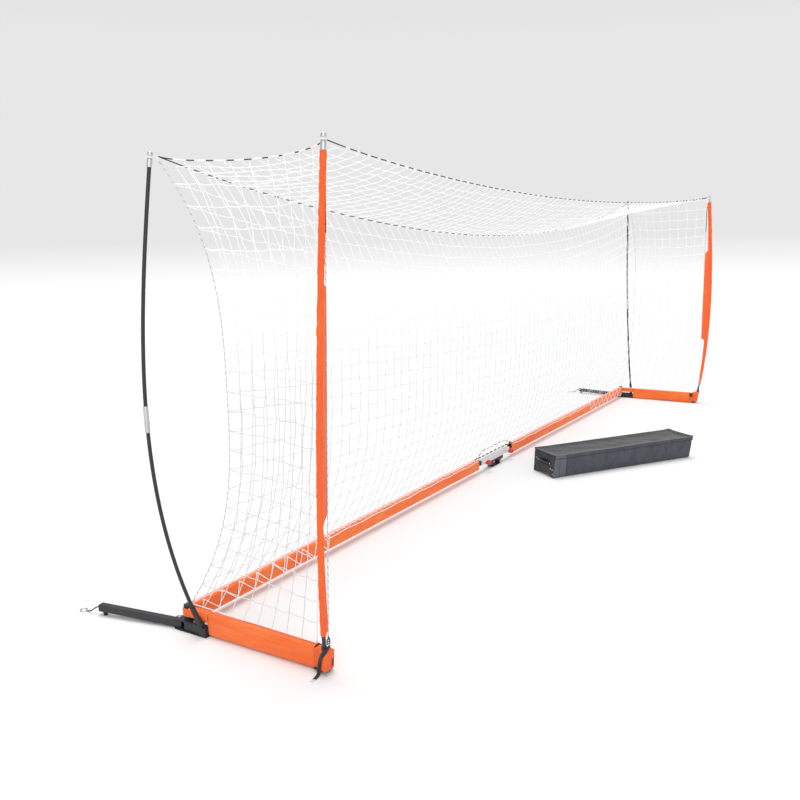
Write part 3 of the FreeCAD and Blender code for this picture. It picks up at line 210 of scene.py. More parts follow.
def cloth(name, colour, lighter, thread, wrinkle, roughness, sheen):
    f = Finish(name, {"Sheen Weight": sheen, "Sheen Roughness": 0.4, "Specular IOR Level": 0.35})
    flat = f.place("UV")
    weave = f.weave(flat, thread)
    skewed = f.node("ShaderNodeVectorRotate", {"rotation_type": "Z_AXIS"}, {"Vector": flat, "Angle": 0.07})
    folds = f.noise(f.stretched(skewed, (48, 6, 1)), 1.0, 4.0, 0.6)
    fade = f.noise(f.stretched(flat, (9, 2, 1)), 1.0, 4.0)
    body = f.mix(f.ramp(fade, 0.3, 0.75), colour, lighter)
    # painted shade: the cloth is darkened in the fold valleys that the bump below sinks
    base = f.mix((1 - f.ramp(folds, 0.3, 0.55)) * 0.3, body, scaled(colour, 0.72))
    rough = roughness + weave * 0.08 + fade * 0.1 - 0.05
    return f.fill(base, rough, weave * 0.25 + folds * (6 * wrinkle), 0.5, 0.0016)


def braid(name, colour, lighter, pitch, fleck=None):
    f = Finish(name, {"Sheen Weight": 0.15, "Specular IOR Level": 0.3})
    flat = f.place("UV")
    slant = f.stretched(flat, (1, 0.6, 1))
    strand = f.stripes(slant, pitch, "DIAGONAL")
    fuzz = f.noise(flat, 500.0, 2.0)
    body = f.mix(strand * 0.5 + fuzz * 0.3, colour, lighter)
    if fleck:
        body = f.mix(f.stripes(slant, pitch * 2.5, "DIAGONAL") > 0.86, body, fleck)
    return f.fill(body, 0.7 + fuzz * 0.2, strand + fuzz * 0.4, 0.5, 0.0006)


def resinRod():
    f = Finish("resinRod", {"Coat Weight": 0.12, "Coat Roughness": 0.25, "Specular IOR Level": 0.3})
    flat = f.place("UV")
    fibre = f.noise(f.stretched(flat, (900, 12, 1)), 1.0, 4.0)
    cloudy = f.noise(f.place("Object"), 6.0)
    base = f.mix(fibre * 0.5 + cloudy * 0.4, (0.012, 0.013, 0.015), (0.045, 0.048, 0.052))
    return f.fill(base, 0.34 + fibre * 0.2, fibre, 0.2, 0.0004)


def netCord():  # painted shade: the strands are greyer towards the ground
    f = Finish("netCord", {"Sheen Weight": 0.1, "Specular IOR Level": 0.3})
    high = f.ramp(f.dot(f.place("Object"), (0, 0, 1)), 1.15, 1.7)
    fuzz = f.noise(f.place("UV"), 300.0, 2.0)
    return f.fill(f.mix(high, (0.7, 0.71, 0.73), (0.96, 0.96, 0.96)), 0.75 + fuzz * 0.2, fuzz, 0.4, 0.0005)


bagLooks = {"patch": -0.615, "seam": -0.622, "end": -0.655, "endColour": (0.013, 0.0135, 0.015)}


def bagCloth(name, side, patch, top, topFrom=9.0):  # top: the colour past topFrom on the flat map
    f = Finish(name, {"Sheen Weight": 0.3, "Sheen Roughness": 0.4, "Specular IOR Level": 0.35})
    flat, spot = f.place("UV"), f.place("Object")
    lengthways, across = f.dot(spot, bagAlong) - bagSpot.dot(bagAlong), f.dot(f.place("Normal"), bagAcross)
    weave = f.weave(flat, 0.0014)
    slant = f.dot(spot, (bagAlong.x, bagAlong.y, -0.9))
    folds = f.noise(f.stretched(spot, (16, 16, 7)), 1.0, 5.0, 0.6)
    # painted shade: slanted crease lines, sunk by the bump, are darkened in the cloth's colour
    creaseCoords = f.node("ShaderNodeCombineXYZ", {}, {"X": slant * 24.0, "Y": f.dot(spot, (0, 0, 3))})
    lines = f.ramp(f.noise(creaseCoords, 1.0, 3.0), 0.56, 0.66)
    onSide = f.node("ShaderNodeMath", {"operation": "ABSOLUTE"}, {0: across}) > 0.6
    # painted shade and light: darker in the fold hollows, lighter on the crests the bump raises
    body = f.mix(f.ramp(folds, 0.35, 0.65), side, scaled(side, 1.35))
    # painted shade in the crease lines
    body = f.mix(lines * 0.45, body, scaled(side, 0.45))
    corner = (lengthways < bagLooks["patch"]) * onSide
    seam = corner * (lengthways > bagLooks["seam"])
    # painted shade and light on the corner patch's folds
    body = f.mix(corner, body, f.mix(f.ramp(folds, 0.3, 0.7), patch, scaled(patch, 1.2)))
    body = f.mix(seam, body, scaled(side, 0.4))
    body = f.mix((lengthways < bagLooks["end"]) * (1 - onSide), body, bagLooks["endColour"])
    # painted shade and light on the lid top's folds
    above = f.mix(f.ramp(folds, 0.3, 0.7), top, scaled(top, 1.5))
    base = f.mix(f.dot(flat, (0, 1, 0)) > topFrom, body, above)
    return f.fill(base, 0.5 + weave * 0.1 + folds * 0.15, weave * 0.25 + folds * 4 - lines, 0.5, 0.0018)


finishes = {
    "steel": powderCoat("darkPowderCoat", (0.022, 0.024, 0.027), (0.04, 0.042, 0.047)),
    "hub": powderCoat("hubPowderCoat", (0.02, 0.022, 0.025), (0.045, 0.048, 0.054)),
    "paleTube": powderCoat("paleTube", (0.66, 0.66, 0.66), (0.78, 0.78, 0.78)),
    "pole": resinRod(),
    "aluminium": metal("turnedAluminium", (0.6, 0.61, 0.62), 0.3),
    "zinc": metal("brightZinc", (0.62, 0.63, 0.65), 0.32, (4, 4, 4)),
    "bolt": metal("boltZinc", (0.86, 0.87, 0.88), 0.3, (4, 4, 4)),
    "orange": cloth("orangeCloth", (0.87, 0.105, 0.012), (0.92, 0.145, 0.022), 0.0011, 0.8, 0.6, 0.1),
    "orangeDull": cloth("orangeClothSide", (0.9, 0.145, 0.022), (0.95, 0.23, 0.058), 0.0011, 2.2, 0.6, 0.1),
    "webbing": braid("blackWebbing", (0.012, 0.012, 0.013), (0.045, 0.045, 0.048), 0.0024),
    "redWebbing": braid("darkRedWebbing", (0.13, 0.008, 0.01), (0.26, 0.02, 0.024), 0.0024),
    "paleWebbing": braid("paleWebbing", (0.55, 0.55, 0.56), (0.8, 0.8, 0.8), 0.0024),
    "plastic": moulded("blackPlastic", (0.012, 0.0125, 0.014), (0.03, 0.031, 0.034), 0.45),
    "hubPlastic": moulded("wheelHub", (0.05, 0.052, 0.056), (0.09, 0.092, 0.096), 0.4),
    "red": moulded("redKnob", (0.55, 0.006, 0.012), (0.72, 0.014, 0.02), 0.25, 300.0, 0.5),
    "rubber": moulded("blackRubber", (0.012, 0.012, 0.012), (0.03, 0.03, 0.03), 0.75, 400.0),
    "cable": moulded("cableCoat", (0.012, 0.012, 0.013), (0.03, 0.03, 0.032), 0.38, 250.0),
    "net": netCord(),
    "whiteCord": braid("whiteCord", (0.82, 0.82, 0.82), (0.95, 0.95, 0.94), 0.004),
    "greyCord": braid("greyCord", (0.6, 0.6, 0.62), (0.88, 0.88, 0.88), 0.004, (0.38, 0.38, 0.4)),
    "blackCord": braid("blackCord", (0.012, 0.012, 0.014), (0.05, 0.05, 0.055), 0.004),
    "bagLid": bagCloth("bagLidCloth", (0.045, 0.05, 0.062), (0.085, 0.095, 0.115),
                       (0.012, 0.0125, 0.0145), 0.0335),
    "bagSide": bagCloth("bagSideCloth", (0.045, 0.05, 0.062), (0.085, 0.095, 0.115), (0.02, 0.02, 0.02)),
    "bagPiping": cloth("bagPiping", (0.1, 0.105, 0.115), (0.16, 0.165, 0.18), 0.001, 0.2, 0.5, 0.3),
    "bagHem": cloth("bagHem", (0.02, 0.021, 0.024), (0.04, 0.042, 0.047), 0.001, 0.2, 0.5, 0.3),
}
print("finishes made")


# mesh helpers: a store gathers points, faces and a flat map in metres

def newStore():
    return {"verts": [], "faces": [], "maps": []}


def addGrid(store, rows, loop=False, ends=False):
    base, count = len(store["verts"]), len(rows[0])
    middle, across, along = rows[len(rows) // 2], [0.0], [0.0]
    for k in range(1, count + loop):
        across.append(across[-1] + (middle[k % count] - middle[k - 1]).length)
    for a, b in zip(rows, rows[1:]):
        along.append(along[-1] + (b[0] - a[0]).length)
    for row in rows:
        store["verts"].extend(row)
    for i in range(len(rows) - 1):
        for k in range(count - 1 + loop):
            n, low, high = (k + 1) % count, base + i * count, base + (i + 1) * count
            store["faces"].append((low + k, low + n, high + n, high + k))
            u0, u1, v0, v1 = across[k], across[k + 1], along[i], along[i + 1]
            store["maps"].extend(((u0, v0), (u1, v0), (u1, v1), (u0, v1)))
    if ends:
        last = base + (len(rows) - 1) * count
        for ring in ([base + k for k in range(count)][::-1], [last + k for k in range(count)]):
            store["faces"].append(ring)
            store["maps"].extend((math.cos(k) * 0.01, math.sin(k) * 0.01) for k in range(count))


def mirrored(side, spot):
    x, y, z = spot
    return Vector((side * x, y, z))


def squareTo(heading, vector):
    return vector - heading * vector.dot(heading)


def ringAt(middle, across, over, radius, count):
    turns = [2 * math.pi * k / count for k in range(count)]
    return [middle + across * (radius * math.cos(a)) + over * (radius * math.sin(a)) for a in turns]


def headingAt(points, i):
    return (points[min(i + 1, len(points) - 1)] - points[max(i - 1, 0)]).normalized()


def ringsAlong(points, radius, count):
    rows, normal = [], None
    for i, point in enumerate(points):
        heading = headingAt(points, i)
        if normal is None:
            normal = heading.orthogonal().normalized()
        normal = squareTo(heading, normal).normalized()
        r = radius[i] if isinstance(radius, list) else radius
        rows.append(ringAt(point, normal, heading.cross(normal), r, count))
    return rows


def addTube(store, points, radius, count=8, ends=True):
    addGrid(store, ringsAlong(points, radius, count), True, ends)


def addLathe(store, profile, place, count):
    rings = [ringAt(up * z, Vector((1, 0, 0)), Vector((0, 1, 0)), r, count) for r, z in profile]
    addGrid(store, [[place @ p for p in ring] for ring in rings], True)


def addHoop(store, centre, across, over, ring, wire, count, section):
    def rowAt(t):
        out = across * math.cos(2 * math.pi * t) + over * math.sin(2 * math.pi * t)
        return ringAt(centre + out * ring, out, across.cross(over), wire, section)
    addGrid(store, sampled(rowAt, count), True)


def addRibbon(store, points, normals, width, thick):
    rows = []
    for i, point in enumerate(points):
        heading = headingAt(points, i)
        out = squareTo(heading, normals[i]).normalized()
        across = out.cross(heading)
        w, t = width / 2, thick / 2
        spots = [(w - t * 0.6, t), (0, t * 1.05), (t * 0.6 - w, t), (-w, t * 0.3), (-w, -t * 0.3),
                 (t * 0.6 - w, -t), (0, -t * 1.05), (w - t * 0.6, -t), (w, -t * 0.3), (w, t * 0.3)]
        rows.append([point + across * x + out * y for x, y in spots])
    addGrid(store, rows, True, True)


def softened(points, reach, steps):  # a broken line with its corners rounded
    result = [points[0]]
    for before, point, after in zip(points, points[1:], points[2:]):
        into = point + (before - point).normalized() * min(reach, (before - point).length * 0.49)
        out = point + (after - point).normalized() * min(reach, (after - point).length * 0.49)
        for i in range(steps + 1):
            t = i / steps
            result.append(into * (1 - t) ** 2 + point * (2 * t * (1 - t)) + out * t ** 2)
    return result + [points[-1]]


def turnedProfile(pairs, reach, both=False):  # both: the same again on the other side of the middle
    spots = [Vector((r, z)) for r, z in pairs]
    if both:
        spots = [Vector((r, -z)) for r, z in pairs] + spots[::-1]
    return [(p.x, p.y) for p in softened(spots, reach, 3)]


def sampled(line, count):
    return [line(i / count) for i in range(count + 1)]


def facing(point, heading):
    return Matrix.Translation(point) @ heading.to_track_quat("Z", "Y").to_matrix().to_4x4()


def makePiece(name, store, finish, replaced=(), body="goal", weld=0.0, thick=0.0):
    mesh = bpy.data.meshes.new(name)
    mesh.from_pydata(store["verts"], [], store["faces"])
    layer = mesh.uv_layers.new(name="flat")
    layer.data.foreach_set("uv", [c for pair in store["maps"] for c in pair])
    mesh.polygons.foreach_set("use_smooth", [True] * len(mesh.polygons))
    piece = bpy.data.objects.new(name, mesh)
    bpy.context.scene.collection.objects.link(piece)
    mesh.materials.append(finishes[finish].material)
    if weld:
        tool = piece.modifiers.new("weld", "WELD")
        tool.merge_threshold = weld
    if thick:
        tool = piece.modifiers.new("solid", "SOLIDIFY")
        tool.thickness, tool.offset, tool.use_quality_normals = thick, 0.0, True
    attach(piece, body)
    if replaced:
        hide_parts(*replaced)
    return piece


def crease(point, size, strength):  # smooth unevenness of a soft surface
    return noise.noise(point / size) * strength


# anchor cables, from each leg's end to a ring for a ground stake

cableSizes = {"diameter": 0.007, "length": 0.106, "ringOuter": 0.022, "wire": 0.003}
legSizes = {"pivot": (3.655, 0.050, 0.026), "length": 0.512, "tilt": 1.8, "splay": {"left": 11, "right": 3}}


def makeCable(word, side):
    splay, tilt = math.radians(legSizes["splay"][word]), math.radians(legSizes["tilt"])
    level = Vector((side * math.sin(splay), math.cos(splay), 0))
    run = level * math.cos(tilt) + up * math.sin(tilt)
    start = mirrored(side, legSizes["pivot"]) + run * (legSizes["length"] + 0.005)
    drift = level.cross(up) * side
    route = [(0, 0, start.z), (0.018, 0, start.z - 0.001), (0.042, 0.003, start.z - 0.014),
             (0.068, 0.004, 0.009), (0.096, -0.002, 0.0039)]
    ground = Vector((start.x, start.y, 0))
    points = [ground + level * a + drift * b + up * c for a, b, c in route]
    curve = bpy.data.curves.new("anchorCable_" + word, "CURVE")
    curve.dimensions = "3D"
    spline = curve.splines.new("NURBS")
    spline.points.add(len(points) - 1)
    for control, point in zip(spline.points, points):
        control.co = (*point, 1)
    spline.order_u = 3
    spline.use_endpoint_u = True
    curve.resolution_u = 12
    curve.bevel_depth, curve.bevel_resolution = cableSizes["diameter"] / 2, 5
    curve.use_fill_caps = True
    curve.materials.append(finishes["cable"].material)
    cord = bpy.data.objects.new("anchorCable_" + word, curve)
    bpy.context.scene.collection.objects.link(cord)
    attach(cord, word + "_leg")
    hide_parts("anchor_cable_" + word)

    heading = points[-1] - points[-2]
    heading = Vector((heading.x, heading.y, 0)).normalized()
    wire, outer = cableSizes["wire"], cableSizes["ringOuter"]
    centre = points[-1] + heading * (outer + 0.0095)
    centre.z = wire + 0.0004
    store = newStore()
    addHoop(store, centre, heading, up.cross(heading), outer - wire, wire, 56, 12)
    crimp = turnedProfile([(0.0, 0.0), (0.0037, 0.0), (0.0039, 0.002), (0.0034, 0.004), (0.0034, 0.006),
                           (0.0039, 0.008), (0.0036, 0.0105), (0.0, 0.0105)], 0.0008)
    addLathe(store, crimp, facing(points[-1] + heading * 0.0004, heading), 20)
    ring = makePiece("anchorRing_" + word, store, "zinc", ["anchor_ring_" + word],
                     word + "_leg", weld=0.00002)


for word, side in sides:
    makeCable(word, side)
print("camera and cables placed")


# bowed poles: straight in the socket, then bent by the stretched net

rodSizes = {
    "radius": 0.0095, "low": 0.0202, "ferrule": 1.160,
    "front": {"foot": (3.660, -0.915), "lean": (0.203, -0.148), "tip": (-0.035, -0.078),
              "start": 0.150, "top": 2.440, "inwards": (-0.882, 0.471)},
    "rear": {"foot": (3.660, -0.133), "lean": (0.267, 0.181), "tip": (0.025, 0.116),
             "start": 0.165, "top": 2.423, "inwards": (-0.888, -0.460)},
}


def rodCurve(end, side, z):
    rod = rodSizes[end]
    free = rod["top"] - rod["start"]
    rise = max(0.0, z - rod["start"])
    point, heading = Vector((0, 0, z)), Vector((0, 0, 1))
    for k in (0, 1):
        flip = side if k == 0 else 1
        lean = rod["lean"][k]
        pull = (rod["tip"][k] - lean * rod["top"]) / (2 * free ** 3)
        point[k] = flip * (rod["foot"][k] + lean * z + pull * (3 * free * rise ** 2 - rise ** 3))
        heading[k] = flip * (lean + pull * (6 * free * rise - 3 * rise ** 2))
    return point, heading.normalized()


def cornerOf(end, side):  # where the net's corner is tied to the pole
    x, y = rodSizes[end]["inwards"]
    pole = rodCurve(end, side, rodSizes[end]["top"] - 0.052)[0]
    return pole + Vector((x * side, y, 0)) * 0.044 + up * 0.012


def seatOf(end, side):  # top of the rod, inside its cap
    top = rodSizes[end]["top"]
    heading = rodCurve(end, side, top)[1]
    return rodCurve(end, side, top - 0.0144 * heading.z)[0], heading


rods = [(end, word, side) for end in ("front", "rear") for word, side in sides]
for end, word, side in rods:
    store, low, high = newStore(), rodSizes["low"], seatOf(end, side)[0].z
    points = sampled(lambda t: rodCurve(end, side, low + (high - low) * t)[0], 90)
    addTube(store, points, rodSizes["radius"], 24)
    makePiece("%sPole_%s" % (end, word), store, "pole",
              ["%s_pole_%s_%s" % (end, part, word) for part in ("lower", "upper")])

store = newStore()
ferruleProfile = turnedProfile([(0.0097, 0.065), (0.0122, 0.065), (0.013, 0.0625), (0.013, 0.048),
                                (0.0124, 0.046), (0.013, 0.044)], 0.0007, both=True)
for word, side in sides:
    addLathe(store, ferruleProfile, facing(*rodCurve("rear", side, rodSizes["ferrule"])), 36)
makePiece("poleFerrules", store, "aluminium", ["pole_ferrules"])

store = newStore()
capProfile = turnedProfile([(0.0101, 0.056), (0.0101, 0.0), (0.013, 0.0), (0.013, 0.036),
                            (0.0105, 0.0403), (0.0105, 0.0518), (0.013, 0.0562), (0.013, 0.0677),
                            (0.010, 0.072), (0.0, 0.072)], 0.0011)
for end, word, side in rods:
    seat, heading = seatOf(end, side)
    addLathe(store, capProfile, facing(seat - heading * 0.0576, heading), 36)
makePiece("poleCaps", store, "aluminium", ["pole_tips"], weld=0.00002)

loopSizes = {"down": 0.0115, "turn": 0.0016, "ring": 0.0128, "ringCord": 0.0019, "knot": 0.016,
             "apart": 0.0022, "twist": 0.0016, "cord": 0.002, "tie": 0.0036}
store = newStore()
for end, word, side in rods:
    seat, heading = seatOf(end, side)
    groove, corner = seat - heading * loopSizes["down"], cornerOf(end, side) + up * 0.010
    towards = (corner - groove).normalized()
    across = heading.cross(towards).normalized()
    level = squareTo(heading, towards).normalized()
    knot = groove + towards * loopSizes["knot"]
    for way in (-1, 1):
        line, place = [], groove + heading * (way * loopSizes["turn"])
        addHoop(store, place, level, across, loopSizes["ring"], loopSizes["ringCord"], 36, 8)
        for k in range(13):
            sway = way * loopSizes["apart"] + loopSizes["twist"] * math.sin(k * 1.3 + way * 1.98)
            line.append(knot.lerp(corner, k / 12) + across * sway)
        addTube(store, line, loopSizes["cord"])
    place = knot + towards * 0.004
    addHoop(store, place, across, towards.cross(across), loopSizes["tie"], loopSizes["cord"], 20, 8)
makePiece("cornerLoops", store, "whiteCord", ["corner_loops"])
print("poles and caps made")


# net: square mesh knotted from white cord, each panel hung between four edges

netSizes = {
    "strand": 0.0023, "knot": 0.0038, "mesh": 0.1, "slack": 0.006, "uneven": 0.005,
    "backRows": 22, "roofRows": 10, "sideColumns": 9, "sideRows": 22, "columns": 72,
    "foot": (3.615, 0, 0.128), "sideStart": (3.640, -0.855, 0.128),
}


def sagging(start, end, droop):
    return lambda t: start + (end - start) * t + droop * (4 * t * (1 - t))


def waisted(start, end, pull):
    return lambda t: start + (end - start) * t + pull * (1 - abs(2 * t - 1) ** 3)


def netEdges():
    edges, taut, foot = {}, Vector((0, 0, 0)), {}
    corner = {(end, word): cornerOf(end, side) for end, word, side in rods}
    edges["topFront"] = sagging(corner["front", "left"], corner["front", "right"], Vector((0, 0.232, -0.118)))
    edges["topRear"] = sagging(corner["rear", "left"], corner["rear", "right"], Vector((0, -0.035, -0.370)))
    for word, side in sides:
        front, rear = corner["front", word], corner["rear", word]
        foot[word], start = mirrored(side, netSizes["foot"]), mirrored(side, netSizes["sideStart"])
        edges["top" + word] = sagging(front, rear, Vector((-0.140 * side, 0, -0.022)))
        edges["rear" + word] = waisted(foot[word], rear, Vector((-0.176 * side, -0.176, 0)))
        edges["bottom" + word] = sagging(start, foot[word], taut)
        edges["front" + word] = sagging(start, front, taut)
    edges["bottomRear"] = sagging(foot["left"], foot["right"], taut)
    return edges


edges = netEdges()


def patch(bottom, top, start, end):
    a, b, c, d = bottom(0), bottom(1), top(0), top(1)

    def place(u, v):
        ruled = bottom(u) * (1 - v) + top(u) * v + start(v) * (1 - u) + end(v) * u
        return ruled - a * ((1 - u) * (1 - v)) - b * (u * (1 - v)) - c * ((1 - u) * v) - d * (u * v)
    return place


def netPanel(name, replaced, borders, columns, rows, lowStrand=False):  # lowStrand: one along its first edge
    store, knots, grid, place = newStore(), [], {}, patch(*(edges[border] for border in borders))
    uneven, strand = netSizes["uneven"], netSizes["strand"]
    for i in range(columns + 1):
        for j in range(rows + 1):
            point = place(i / columns, j / rows)
            if 0 < i < columns and 0 < j < rows:
                point = point + Vector([random.uniform(-uneven, uneven) for k in range(3)])
                knots.append(point)
            grid[i, j] = point
    for j in range(0 if lowStrand else 1, rows):
        line = [grid[0, j]]
        for i in range(columns):
            a, b = grid[i, j], grid[i + 1, j]
            deep = netSizes["slack"] * random.uniform(0.5, 1.4) if j else 0
            for t in (0.33, 0.67, 1):
                line.append(a.lerp(b, t) - up * (deep * 4 * t * (1 - t)))
        addTube(store, line, strand, 5, False)
    for i in range(1, columns):
        line = [grid[i, 0]]
        for j in range(rows):
            a, b = grid[i, j], grid[i, j + 1]
            away = Vector((random.uniform(-0.003, 0.003), random.uniform(-0.003, 0.003), 0))
            line.extend([a.lerp(b, 0.5) + away, b])
        addTube(store, line, strand, 5, False)
    size = netSizes["knot"]
    for knot in knots:
        base = len(store["verts"])
        ways = [Vector((size, 0, 0)), Vector((0, size, 0)), Vector((-size, 0, 0)), Vector((0, -size, 0))]
        store["verts"].extend([knot + way for way in ways] + [knot + up * size, knot - up * size])
        for k in range(4):
            n = (k + 1) % 4
            store["faces"].extend([(base + k, base + n, base + 4), (base + n, base + k, base + 5)])
            store["maps"].extend([(0, 0), (size, 0), (0, size)] * 2)
    makePiece(name, store, "net", [replaced])


netPanel("netBack", "net_back", ("bottomRear", "topRear", "rearleft", "rearright"),
         netSizes["columns"], netSizes["backRows"])
netPanel("netRoof", "net_roof", ("topFront", "topRear", "topleft", "topright"),
         netSizes["columns"], netSizes["roofRows"], True)
for word, side in sides:
    borders = [part + word for part in ("bottom", "top", "front", "rear")]
    netPanel("netSide_" + word, "net_side_" + word, borders, netSizes["sideColumns"], netSizes["sideRows"])
print("net made")


# cords along the net's edges: a black core, wound with white where each mesh is tied to it

cordSizes = {"edge": 0.0029, "wrap": 0.0041, "wrapLength": 0.036, "swell": (0.8, 1.0, 1.04, 1.0, 0.8),
             "front": 0.003, "frontBare": 0.085, "frontFoot": (3.674, -0.951, 0.198), "white": 0.0028}


def lengthOf(points):
    return sum((b - a).length for a, b in zip(points, points[1:]))


def along(points, distance):
    for a, b in zip(points, points[1:]):
        step = (b - a).length
        if distance <= step:
            return a.lerp(b, distance / step)
        distance -= step
    return points[-1].copy()


def winding(points, middle, half):
    return [along(points, middle + half * t) for t in (-1, -0.5, 0, 0.5, 1)]


def frontCordEnds(side):
    return mirrored(side, cordSizes["frontFoot"]), cornerOf("front", side)


core, wraps, pale = newStore(), newStore(), newStore()
edgeLines = {"topFront": (1.1, 0.15), "topRear": (1.0, 0.15), "topleft": (2.1, 0.04), "topright": (2.1, 0.04)}
for name, (wound, bare) in edgeLines.items():  # how much of it is wound with white, and its bare ends
    points = [edges[name](i / 160) + up * (0.008 + 0.012 * abs(i / 80 - 1) ** 12) for i in range(161)]
    whole = lengthOf(points)
    addTube(core, points, cordSizes["edge"])
    meshCount = max(8, round(whole / netSizes["mesh"]))
    for k in range(1, meshCount):
        middle = whole * k / meshCount
        if min(middle, whole - middle) < bare:
            continue
        half = cordSizes["wrapLength"] / 2 * wound * random.uniform(0.7, 1.2)
        addTube(wraps, winding(points, middle, half), scaled(cordSizes["swell"], cordSizes["wrap"]))
for word, side in sides:
    addTube(pale, sampled(edges["rear" + word], 80), cordSizes["edge"])
    bottom, top = frontCordEnds(side)
    share = 1 - cordSizes["frontBare"] / (top - bottom).length
    points = sampled(lambda t: bottom.lerp(top, t * share), 60)
    addTube(pale, points, cordSizes["front"])
    addTube(core, points[-9:], cordSizes["front"] * 1.15)
    addTube(wraps, sampled(edges["front" + word], 60), cordSizes["white"])
makePiece("edgeCords", core, "blackCord", ["net_edge_cords"])
makePiece("sideCords", pale, "greyCord")
print("edge cords made")


# the net's foot: a white cord laced round the back bar's sleeve, black and white over the middle

laceSizes = {"radius": 0.0029, "face": -0.0259, "nearest": -0.0256, "high": 0.1225, "low": 0.047,
             "top": 0.126, "start": 2.45, "end": 3.58, "step": 0.138, "slant": 0.02208}
middleSizes = {"half": 0.05, "rise": 0.003, "first": 0.03, "step": 0.078, "wrap": 0.014,
               "swell": (1.1, 1.3, 1.35, 1.3, 1.1),  # cords: how high each arches, radius, first tie's shift
               "cords": ((0.0, 0.0055, 0.0), (0.05, 0.0034, 0.02))}
hemSizes = {"start": 0.36, "end": 2.5, "steps": 419, "lines": (
    {"y": -0.0268, "z": 0.1165, "sway": 0.0, "wave": 0.0028, "period": 0.31, "radius": 0.0027},
    {"y": -0.0125, "z": 0.1298, "sway": 0.0095, "wave": 0.0, "period": 0.062, "radius": 0.0021})}


def lacePoints(side):
    size, points = laceSizes, []
    x = size["start"]
    while x < size["end"]:
        high = Vector((side * x, size["face"], size["high"]))
        low = Vector((side * (x + size["slant"]), size["face"], size["low"]))
        points.extend([high + Vector((-side * 0.006, 0.010, 0.007)), high,
                       low, low + Vector((side * 0.004, 0, -0.004))])
        x += size["step"]
    lace = softened([p + Vector((crease(p, 0.1, 0.006), 0, 0)) for p in points], 0.012, 3)
    for p in lace:
        if p.z < size["top"]:
            p.y = min(p.y, size["nearest"])
    return lace


def hemLine(side, line):  # gathered along the sleeve's upper front edge
    start, end = hemSizes["start"], hemSizes["end"]

    def place(t):
        x = start + (end - start) * t
        turn = math.sin(2 * math.pi * x / line["period"])
        rise = abs(crease(Vector((x, line["y"], 0)), 0.12, 0.002))
        return Vector((side * x, line["y"] + line["sway"] * turn, line["z"] + line["wave"] * turn + rise))
    return sampled(place, hemSizes["steps"])


centre = newStore()
for word, side in sides:
    addTube(wraps, lacePoints(side), laceSizes["radius"])
    foot = sampled(lambda t: edges["bottomRear"](0.5 + side * (0.045 + 0.455 * t)), 100)
    addTube(wraps, [p + up * crease(p, 0.12, 0.004) for p in foot], cordSizes["white"])
    addTube(wraps, sampled(edges["bottom" + word], 20), cordSizes["white"])
for arch, radius, shift in middleSizes["cords"]:
    middle = []
    for i in range(61):
        rise = middleSizes["rise"] + arch * min(1.0, 1.6 * math.sin(math.pi * i / 60))
        p = edges["bottomRear"](0.5 + middleSizes["half"] * (i / 30 - 1))
        middle.append(p + up * (rise + crease(p + up * rise, 0.1, 0.003)))
    addTube(centre, middle, radius, 10)
    for k in range(9):
        tie = middleSizes["first"] + shift + middleSizes["step"] * k
        addTube(wraps, winding(middle, tie, middleSizes["wrap"]), scaled(middleSizes["swell"], radius), 10)
makePiece("middleCord", centre, "blackCord")
for word, side in sides:
    for line in hemSizes["lines"]:
        addTube(wraps, hemLine(side, line), line["radius"], 6)
makePiece("lacing", wraps, "whiteCord", ["lacing"])
print("lacing made")


# fabric sleeves

sleeveSizes = {
    "widths": ((0.218, 0.034), (0.40, 0.042), (0.756, 0.050), (0.784, 0.136), (1.790, 0.129), (1.820, 0.050),
               (2.10, 0.036), (2.30, 0.040), (2.345, 0.058), (2.368, 0.060)),
    "round": 0.0131, "layer": 0.0012, "thick": 0.0008, "rows": 150, "columns": 9, "wave": 0.004,
    "from": 0.0175, "least": 0.019, "cordGap": 0.0055, "railThick": 0.0009, "corner": 0.006,
    "rail": {"x": 3.640, "half": 0.0224, "low": 0.0068, "high": 0.1194, "front": -0.855, "rear": -0.164},
    "band": {"low": 0.0748, "rear": -0.019, "wrap": ((0.0222, -0.0215), (0.0222, 0.0178), (-0.0144, 0.0178))},
    "bar": {"start": 0.330, "end": 3.6163, "half": 0.0225, "low": 0.0385, "high": 0.1255},
}


def widthAt(z):
    stations = sleeveSizes["widths"]
    for (z0, w0), (z1, w1) in zip(stations, stations[1:]):
        if z <= z1:
            return w0 + (w1 - w0) * (z - z0) / (z1 - z0)
    return stations[-1][1]


def makePoleSleeve(word, side):
    store, rows, size = newStore(), [], sleeveSizes
    count, layer = size["columns"], size["layer"]
    bottom, top = frontCordEnds(side)
    low, high = size["widths"][0][0], size["widths"][-1][0]
    for i in range(size["rows"] + 1):
        z = low + (high - low) * i / size["rows"]
        middle, heading = rodCurve("front", side, z)
        cord = bottom + (top - bottom) * ((z - bottom.z) / (top.z - bottom.z)) - middle
        cord = squareTo(heading, cord)
        towards = cord.normalized()
        across = heading.cross(towards) * -side
        reach = max(size["least"], min(widthAt(z), cord.length - size["cordGap"]))
        row, flap = [], []
        for k in range(13):
            a = math.radians(34 + 24.33 * k)
            spot = towards * math.cos(a) + across * math.sin(a)
            puff = abs(crease(middle + spot * 0.04 + up * (z * 0.8), 0.07, 0.0055))
            row.append(middle + spot * (size["round"] + puff))
        for k in range(count + 1):
            x = size["from"] + (reach - size["from"]) * k / count
            ripple = Vector((side * 7 + k * 0.3, z * 1.6, 0.4))
            wave = crease(ripple, 0.4, size["wave"] * (k / count) ** 1.2)
            flap.append(middle + towards * x + across * wave)
        row.extend(spot - across * layer for spot in flap)
        row.append(flap[-1] + towards * 0.0008)
        row.extend(spot + across * layer for spot in reversed(flap))
        rows.append(row)
    addGrid(store, rows, True)
    sleeve = makePiece("poleSleeve_" + word, store, "orange",
                       ["pole_sleeve_" + word], thick=size["thick"])
    high - low


